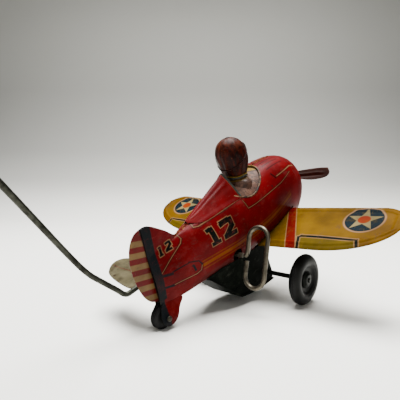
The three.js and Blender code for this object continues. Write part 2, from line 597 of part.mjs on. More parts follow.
// ---- pilot ----
// A closed body from rings [z, half width, half depth, y offset], ended in a point at both ends.
function ringBody(rows, segments, y0) {
  const points = [];
  const index = [];
  for (const [z, a, b, dy] of rows) {
    for (let k = 0; k < segments; k++) {
      const t = k * Math.PI * 2 / segments;
      points.push(a * Math.cos(t), dy + b * Math.sin(t), z);
    }
  }
  for (let r = 0; r + 1 < rows.length; r++) {
    for (let k = 0; k < segments; k++) {
      const n = (k + 1) % segments;
      const p = r * segments;
      const q = p + segments;
      index.push(p + k, p + n, q + n, p + k, q + n, q + k);
    }
  }
  const first = rows[0];
  const last = rows[rows.length - 1];
  points.push(0, first[3], first[0], 0, last[3], last[0]);
  const low = rows.length * segments;
  const end = (rows.length - 1) * segments;
  for (let k = 0; k < segments; k++) {
    const n = (k + 1) % segments;
    index.push(low, n, k, low + 1, end + k, end + n);
  }
  const geometry = new THREE.BufferGeometry();
  geometry.setAttribute('position', new THREE.Float32BufferAttribute(points, 3));
  geometry.setIndex(index);
  return geometry.translate(0, y0, 0);
}
add('pilot_head', ringBody([
  [45.0, 5.6, 5.4, 0.0], [46.8, 6.6, 6.6, 0.2], [49.2, 7.1, 7.5, 0.2], [51.6, 7.6, 8.1, 0.2],
  [54.2, 8.0, 8.5, 0],
  [57.0, 8.0, 8.5, -0.2], [59.6, 7.5, 8.0, -0.3], [62.0, 6.3, 6.8, -0.4], [63.9, 4.5, 5.0, -0.4],
  [65.1, 2.3, 2.6, -0.4], [65.4, 0.8, 0.9, -0.4],
], 20, 70.2), 0x50241d);
add('pilot_torso', ringBody([
  [33.0, 9.0, 7.0, 0], [36.0, 9.3, 7.2, 0], [39.5, 9.2, 7.0, 0], [42.0, 8.3, 6.2, 0], [43.4, 6.9,
  5.4, 0], [44.3, 5.6, 4.8, 0], [44.6, 4.4, 3.8, 0],
], 18, 69.4), 0x73534a);

// ---- propeller ----
function bladePoint(side, u, row) {
  const x = side * u * PROP.radius;
  const v = side > 0 ? row : 1 - row;
  const lead = 2.2 + 1.2 * u - 1.0 * Math.pow(u, 6);
  const trail = 1.9 + 3.6 * Math.sin(Math.min(1, u * 1.7) * Math.PI / 2);
  const tip = Math.sqrt(Math.max(0.01, 1 - Math.pow(u, 5)));
  const across = lead - v * (lead + trail * tip);
  const twist = 0.45 * (1 - 0.35 * u);
  const rib = 0.7 * Math.exp(-Math.pow((across + 0.4) / 0.9, 2)) * Math.min(1, Math.max(0,
    (0.9 - u) / 0.15));
  return new THREE.Vector3(
    x,
    PROP.y + side * (-across * Math.sin(twist)) + rib * Math.cos(twist),
    side * across * Math.cos(twist),
  );
}
const fullBlade = (u, v) => {
  const s = (u - 0.5) * 2;
  const point = bladePoint(s < 0 ? -1 : 1, Math.abs(s), v);
  if (Math.abs(s) < 0.16) {
    const flat = Math.abs(s) / 0.16;
    point.y = PROP.y + (point.y - PROP.y) * flat;
  }
  return point;
};
let propeller = solid(sheet(24, 6, (u, v) => fullBlade(1 - u, v), 0.5))
  .subtract(solid(turnedY([[PROP.y - 4, 0], [PROP.y - 4, 0.95], [PROP.y + 4, 0.95], [PROP.y + 4,
    0]], 0, 0, 12)));
add('propeller', geometryOf(propeller).rotateY(-PROP.tilt).translate(0, 0, PROP.z), 0x4a2018);
add('propeller_pin', turnedY([
  [115.8, 0], [115.8, 2.2], [117.1, 2.2], [117.1, 0.6], [PROP.y + 1.0, 0.6], [PROP.y + 1.0, 2.4],
  [PROP.y + 1.6, 2.3], [PROP.y + 2.3, 1.5], [PROP.y + 2.6, 0],
], 0, PROP.z, 16), 0x6c5a48);

// ---- key: bent wire loop about the winding arbor ----
const loop = [];
const arc = (cx, cz, r, from, to, steps) => {
  for (let k = 0; k <= steps; k++) {
    const a = from + (to - from) * k / steps;
    loop.push(new THREE.Vector3(cx + r * Math.cos(a), 0, cz + r * Math.sin(a)));
  }
};
const bend = (KEY.outer - KEY.inner) / 2;
const straight = KEY.half - bend;
loop.push(new THREE.Vector3(KEY.inner - 1.0, 0, 0.0));
loop.push(new THREE.Vector3(KEY.inner, 0, 1.6));
arc(KEY.inner + bend, straight, bend, Math.PI, 0, 8);
arc(KEY.inner + bend, -straight, bend, 0, -Math.PI, 8);
loop.push(new THREE.Vector3(KEY.inner, 0, -2.2));
const keyWire = wire(loop, KEY.wire, 10);
keyWire.rotateX(-KEY.tilt).translate(0, A0[0], A0[1]);
add('winding_key', keyWire, 0x8a857a);

export default group;
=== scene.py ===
"""Looks for a clockwork tin aeroplane with a roll-over arm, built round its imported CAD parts.

Lengths inside the piece makers are millimetres in the aeroplane's own frame: x across to
starboard, a along the body towards the nose, n up from the body. place() turns them into metres.
"""

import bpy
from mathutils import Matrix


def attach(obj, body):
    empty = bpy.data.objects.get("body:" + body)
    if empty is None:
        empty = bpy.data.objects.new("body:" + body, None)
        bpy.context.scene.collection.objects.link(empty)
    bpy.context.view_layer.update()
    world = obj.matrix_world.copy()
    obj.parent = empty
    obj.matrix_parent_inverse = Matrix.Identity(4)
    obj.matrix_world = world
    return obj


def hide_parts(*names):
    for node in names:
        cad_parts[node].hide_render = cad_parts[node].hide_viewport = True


bl_info = {
    "name": "Clockwork Tin Aeroplane",
    "version": (1, 0, 0),
    "blender": (4, 5, 0),
    "location": "3D View > Sidebar > Tin Aeroplane",
    "description": "Builds the lithographed tin pieces, the pilot, the wheels and the studio",
    "category": "Object",
}

import math

import bmesh
import bpy
from bpy.props import FloatProperty, FloatVectorProperty, PointerProperty
from mathutils import Vector

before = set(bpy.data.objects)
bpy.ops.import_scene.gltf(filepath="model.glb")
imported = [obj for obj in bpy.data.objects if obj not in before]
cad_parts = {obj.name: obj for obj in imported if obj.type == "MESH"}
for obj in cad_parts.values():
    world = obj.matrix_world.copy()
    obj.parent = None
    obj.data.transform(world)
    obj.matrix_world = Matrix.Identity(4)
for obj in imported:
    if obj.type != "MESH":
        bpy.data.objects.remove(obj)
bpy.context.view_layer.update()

MM = 0.001
PITCH = math.radians(20.0)
FOOT = (-0.01618, 0.000012)
TIN = 0.45

# ---------------------------------------------------------------- places and sections


def place(x, a, n):
    """A point of the aeroplane's own frame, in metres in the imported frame."""
    c, s = math.cos(PITCH), math.sin(PITCH)
    return Vector((x * MM, (a * c - n * s) * MM + FOOT[0], (a * s + n * c) * MM + FOOT[1]))


def eased(table, key):
    """A row of a table read at any key, on a smooth curve through its rows."""
    if key <= table[0][0]:
        return list(table[0][1:])
    if key >= table[-1][0]:
        return list(table[-1][1:])
    k = max(i for i in range(len(table) - 1) if table[i][0] <= key)
    before, low, high, after = (table[min(max(i, 0), len(table) - 1)] for i in (k - 1, k, k + 1, k + 2))
    gap = high[0] - low[0]
    t = (key - low[0]) / gap
    row = []
    for m in range(1, len(low)):
        slope_low = (high[m] - before[m]) / (high[0] - before[0]) * gap
        slope_high = (after[m] - low[m]) / (after[0] - low[0]) * gap
        row.append(
            (2 * t**3 - 3 * t**2 + 1) * low[m]
            + (t**3 - 2 * t**2 + t) * slope_low
            + (3 * t**2 - 2 * t**3) * high[m]
            + (t**3 - t**2) * slope_high
        )
    return row


# station a: bottom of the bulge, top of the bulge, half width, crest of the fin or seam flange
STATIONS = [
    (3.0, 10.2, 33.0, 2.2, 46.0),
    (5.5, 9.8, 33.4, 2.6, 46.1),
    (8.0, 9.3, 33.8, 3.1, 45.4),
    (11.7, 8.7, 34.1, 3.9, 42.7),
    (15.4, 8.3, 34.4, 4.7, 39.7),
    (18.0, 8.1, 34.6, 5.3, 37.0),
    (20.5, 8.0, 34.9, 5.8, 35.5),
    (28.0, 7.7, 36.4, 7.6, 37.0),
    (37.0, 7.1, 38.3, 9.6, 38.9),
    (46.0, 6.4, 40.0, 11.4, 40.6),
    (56.0, 5.9, 41.6, 12.9, 42.2),
    (66.0, 5.6, 43.2, 14.3, 43.8),
    (76.0, 5.6, 44.4, 15.4, 45.0),
    (86.0, 5.8, 45.3, 15.9, 45.9),
    (95.0, 6.4, 45.3, 16.1, 45.9),
    (102.7, 7.2, 44.6, 16.0, 45.2),
]
WING_SPAN = 76.0
WING_CHORD = 32.0
WING_EDGE = (94.1, 16.0)
WING_SLOPE = 0.2425
WING_RISE = 0.065
AXLE = (69.0, -11.2)
ARBOR = (46.3, 12.6)
TAIL_AXLE = (0.9, 5.5)
COCKPIT = (68.5, 11.9, 15.5)


def body_point(side, along, round_share, flange_share=0.12):
    """A point of a half body: along from tail to nose, round from the seam flange to the belly."""
    a = 3.0 + 99.7 * along
    bottom, top, half, crest = eased(STATIONS, a)
    seam = 0.62 if a < 9 else 0.62 - 0.24 * min(1.0, (a - 9) / 4)
    rake = 2.3 * min(1.0, max(0.0, (13 - a) / 10))
    if round_share < flange_share:
        n = crest + (top - crest) * round_share / flange_share
        x = seam
    else:
        angle = (0.5 - (round_share - flange_share) / (1 - flange_share)) * math.pi
        power = 0.92 + 1.0 * min(1.0, max(0.0, (25 - a) / 14)) if angle > 0 else 0.72
        reach = max(0.0, math.cos(angle)) ** power
        lift = math.copysign(abs(math.sin(angle)) ** power, math.sin(angle))
        x = seam + (half - seam) * reach
        n = (top + bottom) / 2 + lift * (top - bottom) / 2
    return Vector((side * x, a - rake * (46 - n) / 36, n))


def body_top(x, a):
    """The height of the body's upper skin at a place in plan."""
    bottom, top, half, _ = eased(STATIONS, a)
    reach = min(1.0, max(0.0, (abs(x) - 0.38) / (half - 0.38)))
    angle = math.acos(reach ** (1 / 0.92))
    return (top + bottom) / 2 + math.sin(angle) ** 0.92 * (top - bottom) / 2


# ---------------------------------------------------------------- meshes


def piece_from(name, points, faces, sharp=38.0):
    """An object from points in the aeroplane's frame, smooth but for its real edges."""
    mesh = bpy.data.meshes.new(name)
    mesh.from_pydata([place(*p) for p in points], [], faces)
    work = bmesh.new()
    work.from_mesh(mesh)
    bmesh.ops.remove_doubles(work, verts=work.verts, dist=2e-6)
    bmesh.ops.recalc_face_normals(work, faces=work.faces)
    work.to_mesh(mesh)
    work.free()
    piece = bpy.data.objects.new(name, mesh)
    bpy.context.scene.collection.objects.link(piece)
    smooth(piece, sharp)
    return piece


def smooth(piece, sharp=38.0):
    piece.data.shade_smooth()
    piece.data.set_sharp_from_angle(angle=math.radians(sharp))


def soften(piece, width, segments=2, angle=38.0):
    """Rounds the real edges a little, so that they catch the light."""
    bevel = piece.modifiers.new("edge", "BEVEL")
    bevel.width = width * MM
    bevel.segments = segments
    bevel.limit_method = "ANGLE"
    bevel.angle_limit = math.radians(angle)
    bevel.harden_normals = True
    return piece


def thick_sheet(name, surface, across, down, thickness, sharp=38.0):
    """A pressed sheet through surface(u, v), given its thickness and closed round its edge."""
    grid = [[Vector(surface(i / across, j / down)) for j in range(down + 1)] for i in range(across + 1)]
    points = []
    for side in (1, -1):
        for i in range(across + 1):
            for j in range(down + 1):
                du = grid[min(i + 1, across)][j] - grid[max(i - 1, 0)][j]
                dv = grid[i][min(j + 1, down)] - grid[i][max(j - 1, 0)]
                points.append(grid[i][j] + du.cross(dv).normalized() * (side * thickness / 2))
    layer = (across + 1) * (down + 1)

    def at(side, i, j):
        return side * layer + i * (down + 1) + j

    faces = []
    for i in range(across):
        for j in range(down):
            faces.append((at(0, i, j), at(0, i + 1, j), at(0, i + 1, j + 1), at(0, i, j + 1)))
            faces.append((at(1, i, j), at(1, i, j + 1), at(1, i + 1, j + 1), at(1, i + 1, j)))
        faces.append((at(0, i, 0), at(1, i, 0), at(1, i + 1, 0), at(0, i + 1, 0)))
        faces.append((at(0, i, down), at(0, i + 1, down), at(1, i + 1, down), at(1, i, down)))
    for j in range(down):
        faces.append((at(0, 0, j), at(0, 0, j + 1), at(1, 0, j + 1), at(1, 0, j)))
        faces.append((at(0, across, j), at(1, across, j), at(1, across, j + 1), at(0, across, j + 1)))
    return piece_from(name, points, faces, sharp)


def turned(name, profile, centre, axis, segments=72, sharp=38.0, shape=(1, 1), wave=None):
    """A turned piece. The profile is (place along the axis, radius) pairs, axis is 'x' or 'a'."""
    points, faces = [], []
    count = len(profile)
    for k in range(segments):
        t = k * math.tau / segments
        for along, radius in profile:
            r = radius + (wave(along, t) if wave else 0)
            p, q = r * math.cos(t) * shape[0], r * math.sin(t) * shape[1]
            if axis == "x":
                points.append((centre[0] + along, centre[1] + p, centre[2] + q))
            else:
                points.append((centre[0] + p, centre[1] + along, centre[2] + q))
    for k in range(segments):
        n = (k + 1) % segments
        for m in range(count - 1):
            faces.append((k * count + m, k * count + m + 1, n * count + m + 1, n * count + m))
    return piece_from(name, points, faces, sharp)


def slab(name, outline, low, high, plane="side", edge=0.1, sharp=38.0, holes=()):
    """A flat plate: its outline is (a, n) for plane 'side' or (x, a) for plane 'top'."""
    def spot(p, h):
        return (h, p[0], p[1]) if plane == "side" else (p[0], p[1], h)
    count = len(outline)
    points = [spot(p, low) for p in outline] + [spot(p, high) for p in outline]
    faces = [tuple(range(count))[::-1], tuple(range(count, 2 * count))]
    faces += [(k, (k + 1) % count, count + (k + 1) % count, count + k) for k in range(count)]
    piece = piece_from(name, points, faces, sharp)
    if edge:
        soften(piece, edge)
    return piece


def tube(name, path, radius, closed=False, sides=20, ends=True, squeeze=1.0):
    """Round wire along a path, mitred at bends; radius may be a function of the share of its length."""
    path = [Vector(p) for p in path]
    count = len(path)
    points, faces = [], []
    side = None
    for k, p in enumerate(path):
        before = path[k - 1] if k or closed else p
        after = path[(k + 1) % count] if k + 1 < count or closed else p
        along = ((p - before).normalized() + (after - p).normalized()).normalized()
        if side is None:
            side = along.orthogonal().normalized()
        side = (side - along * side.dot(along)).normalized()
        other = along.cross(side)
        r = radius(k / max(1, count - 1)) if callable(radius) else radius
        for m in range(sides):
            t = m * math.tau / sides
            points.append(p + side * (r * math.cos(t)) + other * (r * squeeze * math.sin(t)))
    for k in range(count if closed else count - 1):
        n = (k + 1) % count
        shift = 0
        if closed and n == 0:
            first = points[0] - path[0]
            shift = min(range(sides), key=lambda m: (points[k * sides + m] - path[k] - first).length)
        for m in range(sides):
            o = (m + 1) % sides
            faces.append((k * sides + (m + shift) % sides, k * sides + (o + shift) % sides,
                          n * sides + o, n * sides + m))
    if ends and not closed:
        faces.append(tuple(range(sides))[::-1])
        faces.append(tuple((count - 1) * sides + m for m in range(sides)))
    return piece_from(name, points, faces)


def rounded(points, steps, closed=False):
    """A smooth path through a few points."""
    points = [Vector(p) for p in points]
    path = []
    count = len(points)
    for k in range(count if closed else count - 1):
        p0, p1, p2, p3 = (
            points[(k + m) % count] if closed else points[min(max(k + m, 0), count - 1)] for m in (-1,
                0, 1, 2)
        )
        for s in range(steps):
            t = s / steps
            path.append(0.5 * (2 * p1 + (p2 - p0) * t + (2 * p0 - 5 * p1 + 4 * p2 - p3) * t**2
                               + (3 * p1 - p0 - 3 * p2 + p3) * t**3))
    if not closed:
        path.append(points[-1])
    return path


def cut_away(piece, cutters):
    """Takes the cutters out of a piece for good."""
    for cutter in cutters:
        cut = piece.modifiers.new("cut", "BOOLEAN")
        cut.operation = "DIFFERENCE"
        cut.solver = "MANIFOLD"
        cut.object = cutter
    bpy.context.view_layer.update()
    made = bpy.data.meshes.new_from_object(piece.evaluated_get(bpy.context.evaluated_depsgraph_get()))
    made.name = piece.name
    piece.modifiers.clear()
    piece.data = made
    for cutter in cutters:
        bpy.data.objects.remove(cutter)
    smooth(piece, 35.0)


def copy_of(node, name, sharp=30.0):
    """A piece with a CAD node's own shape, its loose corners joined so that it can be shaded smooth."""
    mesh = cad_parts[node].data.copy()
    mesh.name = name
    work = bmesh.new()
    work.from_mesh(mesh)
    bmesh.ops.remove_doubles(work, verts=work.verts, dist=2e-6)
    work.to_mesh(mesh)
    work.free()
    if "custom_normal" in mesh.attributes:
        mesh.attributes.remove(mesh.attributes["custom_normal"])
    piece = bpy.data.objects.new(name, mesh)
    bpy.context.scene.collection.objects.link(piece)
    mesh.materials.clear()
    smooth(piece, sharp)
    return piece


def dress(piece, finish, body, slot, *nodes):
    """Gives a piece its finish and the body it rides on, and hides the CAD nodes it stands for; the slot argument
    is not used.
    """
    piece.data.materials.clear()
    piece.data.materials.append(finish)
    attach(piece, body)
    if nodes:
        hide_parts(*nodes)
    return piece


# ---------------------------------------------------------------- finishes


class Amount:
    """A number worked out across a surface, so that a finish can be written as plain arithmetic."""

    def __init__(self, finish, socket):
        self.finish = finish
        self.socket = socket

    def _with(self, operation, *others, clamp=False):
        return self.finish.work(operation, self, *others, clamp=clamp)

    def __add__(self, other):
        return self._with("ADD", other)

    def __sub__(self, other):
        return self._with("SUBTRACT", other)

    def __rsub__(self, other):
        return self.finish.work("SUBTRACT", other, self)

    def __mul__(self, other):
        return self._with("MULTIPLY", other)

    def __truediv__(self, other):
        return self._with("DIVIDE", other)

    __radd__ = __add__
    __rmul__ = __mul__

    def size(self):
        return self._with("ABSOLUTE")

    def most(self, other):
        return self._with("MAXIMUM", other)

    def least(self, other):
        return self._with("MINIMUM", other)


class Finish:
    """A procedural finish: places in the aeroplane's frame, inks, wear and one Principled shader."""

    def __init__(self, name, metallic=0.0, coat=0.0, coat_roughness=0.2, specular=0.5):
        self.material = bpy.data.materials.new(name)
        self.material.use_nodes = True
        self.tree = self.material.node_tree
        self.shader = self.tree.nodes["Principled BSDF"]
        self.shader.inputs["Metallic"].default_value = metallic
        self.shader.inputs["Coat Weight"].default_value = coat
        self.shader.inputs["Coat Roughness"].default_value = coat_roughness
        self.shader.inputs["Specular IOR Level"].default_value = specular
        spot = self.node("ShaderNodeTexCoord").outputs["Object"]
        turn = self.node("ShaderNodeMapping")
        turn.inputs["Scale"].default_value = (1000, 1000, 1000)
        turn.inputs["Rotation"].default_value = (-PITCH, 0, 0)
        c, s = math.cos(PITCH), math.sin(PITCH)
        foot_y, foot_z = FOOT[0] * 1000, FOOT[1] * 1000
        turn.inputs["Location"].default_value = (0, -(foot_y * c + foot_z * s), foot_y * s - foot_z * c)
        self.tree.links.new(spot, turn.inputs["Vector"])
        self.spot = turn.outputs["Vector"]
        parts = self.node("ShaderNodeSeparateXYZ")
        self.tree.links.new(self.spot, parts.inputs[0])
        self.x, self.a, self.n = (Amount(self, parts.outputs[k]) for k in range(3))

    def node(self, kind):
        return self.tree.nodes.new(kind)

    def put(self, value, socket):
        if isinstance(value, Amount):
            self.tree.links.new(value.socket, socket)
        elif isinstance(value, bpy.types.NodeSocket):
            self.tree.links.new(value, socket)
        elif isinstance(value, (int, float)):
            socket.default_value = value
        else:
            socket.default_value = (*value,
                1.0) if len(value) == 3 and socket.type == "RGBA" else tuple(value)

    def work(self, operation, *values, clamp=False):
        node = self.node("ShaderNodeMath")
        node.operation = operation
        node.use_clamp = clamp
        for value, socket in zip(values, node.inputs):
            self.put(value, socket)
        return Amount(self, node.outputs[0])

    def noise(self, size, detail=2.0, rough=0.5, stretch=(1, 1, 1), shift=0.0):
        """Noise from 0 to 1 whose lumps are size millimetres across."""
        where = self.node("ShaderNodeMapping")
        where.inputs["Scale"].default_value = [1 / (size * s) for s in stretch]
        where.inputs["Location"].default_value = (shift, shift * 0.7, shift * 1.3)
        self.put(self.spot, where.inputs["Vector"])
        noise = self.node("ShaderNodeTexNoise")
        noise.inputs["Scale"].default_value = 1.0
        noise.inputs["Detail"].default_value = detail
        noise.inputs["Roughness"].default_value = rough
        self.put(where.outputs[0], noise.inputs["Vector"])
        return Amount(self, noise.outputs[0])

    def over(self, value, low, high):
        """0 where value is under low, 1 where it is over high, smooth between."""
        node = self.node("ShaderNodeMapRange")
        node.interpolation_type = "SMOOTHSTEP"
        self.put(value, node.inputs["Value"])
        node.inputs["From Min"].default_value = low
        node.inputs["From Max"].default_value = high
        return Amount(self, node.outputs[0])

    def inside(self, distance, soft=0.10):
        """1 inside a printed shape and 0 outside, from the distance to its edge."""
        return self.work("MULTIPLY_ADD", distance, -0.5 / soft, 0.5, clamp=True)

    def mix(self, share, under, over):
        node = self.node("ShaderNodeMix")
        node.data_type = "RGBA"
        self.put(share, node.inputs[0])
        self.put(under, node.inputs[6])
        self.put(over, node.inputs[7])
        return node.outputs[2]

    def slant(self, u, v, along_u, along_v, shift):
        """u times one number plus v times another, less a shift."""
        first = self.work("MULTIPLY_ADD", u, along_u, -shift)
        return self.work("MULTIPLY_ADD", v, along_v, first)

    def bar(self, start, end, width, u=None, v=None):
        """Distance to the edge of a straight bar, negative inside it."""
        u, v = u or self.a, v or self.n
        length = math.dist(start, end)
        du, dv = (end[0] - start[0]) / length, (end[1] - start[1]) / length
        mid = ((start[0] + end[0]) / 2, (start[1] + end[1]) / 2)
        along = self.slant(u, v, du, dv, mid[0] * du + mid[1] * dv).size() - length / 2
        across = self.slant(u, v, -dv, du, mid[1] * du - mid[0] * dv).size() - width / 2
        return along.most(across)

    def bars(self, shapes, u=None, v=None):
        """Distance to the nearest of several bars, each (start, end, width)."""
        nearest = None
        for shape in shapes:
            edge = self.bar(*shape, u=u, v=v)
            nearest = edge if nearest is None else nearest.least(edge)
        return nearest

    def line(self, corners, width, u=None, v=None):
        """Distance to a thin line through corners."""
        shapes = []
        for start, end in zip(corners, corners[1:]):
            length = math.dist(start, end)
            du, dv = (end[0] - start[0]) / length * width / 2, (end[1] - start[1]) / length * width / 2
            shapes.append(((start[0] - du, start[1] - dv), (end[0] + du, end[1] + dv), width))
        return self.bars(shapes, u=u, v=v)

    def field(self, corners, u=None, v=None):
        """Distance to the edge of a many-sided shape with no hollow corner, listed clockwise."""
        u, v = u or self.a, v or self.n
        furthest = None
        for start, end in zip(corners, corners[1:] + corners[:1]):
            length = math.dist(start, end)
            nu, nv = -(end[1] - start[1]) / length, (end[0] - start[0]) / length
            edge = self.slant(u, v, nu, nv, start[0] * nu + start[1] * nv)
            furthest = edge if furthest is None else furthest.most(edge)
        return furthest

    def outward(self, middle=25.0):
        """1 where the surface faces out from the body's middle line, 0 on the inside."""
        normal = self.node("ShaderNodeVectorRotate")
        normal.rotation_type = "X_AXIS"
        normal.inputs["Angle"].default_value = -PITCH
        self.put(self.node("ShaderNodeNewGeometry").outputs["Normal"], normal.inputs["Vector"])
        parts = self.node("ShaderNodeSeparateXYZ")
        self.put(normal.outputs[0], parts.inputs[0])
        nx, nn = Amount(self, parts.outputs[0]), Amount(self, parts.outputs[2])
        facing = self.x * nx + (self.n - middle) * nn * self.over(self.n, 12.5, 13.5)
        return self.over(facing, -0.05, 0.05)

    def facing_up(self):
        """1 where the surface faces up."""
        parts = self.node("ShaderNodeSeparateXYZ")
        self.put(self.node("ShaderNodeNewGeometry").outputs["Normal"], parts.inputs[0])
        return self.over(Amount(self, parts.outputs[2]), -0.2, 0.2)

    def worn(self, ink, rubbed, chip=(0.035, 0.022, 0.018), chips=0.70, rub=0.35, scratch=0.5,
        shift=0.0):
        """Ink on tin: uneven and rubbed, finely scratched, with small chips down to dark metal."""
        cloud = self.noise(17, 3, 0.55, shift=shift)
        shade = self.mix(self.over(cloud, 0.3, 0.72), (0.62, 0.60, 0.60), (1.18, 1.15, 1.15))
        tone = self.node("ShaderNodeMix")
        tone.data_type = "RGBA"
        tone.blend_type = "MULTIPLY"
        tone.inputs[0].default_value = 1.0
        self.put(ink, tone.inputs[6])
        self.put(shade, tone.inputs[7])
        colour = tone.outputs[2]
        patch = self.over(self.noise(6.5, 5, 0.68, shift=shift + 4), 0.50, 0.74)
        colour = self.mix(patch * rub, colour, rubbed)
        streak = self.over(self.noise(0.55, 3, 0.6, stretch=(1, 9, 1.6), shift=shift + 9), 0.60, 0.74)
        colour = self.mix(streak * scratch, colour, rubbed)
        crack = self.over(self.noise(2.4, 6, 0.75, stretch=(1, 2.5, 1), shift=shift + 2), 0.57, 0.66)
        colour = self.mix(crack * 0.35, colour, chip)
        fleck = self.over(self.noise(1.5, 4, 0.7, shift=shift + 13), chips, chips + 0.03)
        colour = self.mix(fleck, colour, chip)
        height = self.noise(9, 2, 0.5,
            shift=shift + 20) * 0.9 - streak * 0.25 - fleck * 0.8 - crack * 0.12
        roughness = patch * 0.16 + streak * 0.14 + fleck * 0.25 + self.noise(3.0, 3,
            shift=shift + 6) * 0.14
        return colour, roughness, height

    def done(self, colour, roughness, height=None, bump=0.35, depth=0.12, metallic=None):
        """Ties the colour, roughness and relief to the shader."""
        self.put(colour, self.shader.inputs["Base Color"])
        self.put(roughness, self.shader.inputs["Roughness"])
        if metallic is not None:
            self.put(metallic, self.shader.inputs["Metallic"])
        if height is not None:
            relief = self.node("ShaderNodeBump")
            relief.inputs["Strength"].default_value = bump
            relief.inputs["Distance"].default_value = depth * MM
            self.put(height, relief.inputs["Height"])
            self.put(relief.outputs[0], self.shader.inputs["Normal"])
        return self.material


# race number "12": bars of the figures, in the body's side view
SIDE_ONE = [((34.4, 32.6), (35.5, 24.6), 2.7), ((31.9, 31.6), (34.6, 32.1), 1.7),
    ((32.7, 24.8), (37.9, 24.9), 1.8)]
SIDE_TWO = [
    ((39.8, 31.8), (45.6, 32.2), 2.4),
    ((46.1, 33.0), (46.0, 28.0), 2.7),
    ((46.8, 29.6), (41.2, 25.2), 2.7),
    ((40.1, 25.1), (48.1, 25.1), 2.3),
    ((40.2, 32.2), (40.5, 30.4), 1.8),
]
FIN_ONE = [((9.6, 35.1), (9.0, 31.4), 1.5), ((8.4, 34.6), (9.7, 34.9), 0.9),
    ((7.9, 31.4), (10.2, 31.4), 1.0)]
FIN_TWO = [
    ((12.7, 34.6), (15.2, 34.8), 1.2),
    ((15.4, 35.2), (15.2, 33.1), 1.4),
    ((15.4, 33.7), (12.3, 31.9), 1.3),
    ((11.6, 31.7), (15.3, 31.8), 1.1),
]
TAIL_PANEL = [(3.5, 24.1), (18.9, 23.0), (23.8, 21.2), (25.1, 18.9), (24.1, 16.4), (21.7, 15.7),
    (9.3, 16.9)]
FIN_PANEL = [(4.9, 24.1), (19.4, 31.9), (20.7, 33.4), (20.5, 35.2)]
COWL_PANEL = [(58.4, 36.3), (59.2, 31.8), (65.0, 32.0), (76.6, 33.3), (88.0, 34.3), (99.5, 36.6)]
HEADREST_FOOT = [(28.9, 36.6), (28.4, 35.4), (30.6, 35.0), (44.0, 36.2), (58.6, 37.6)]


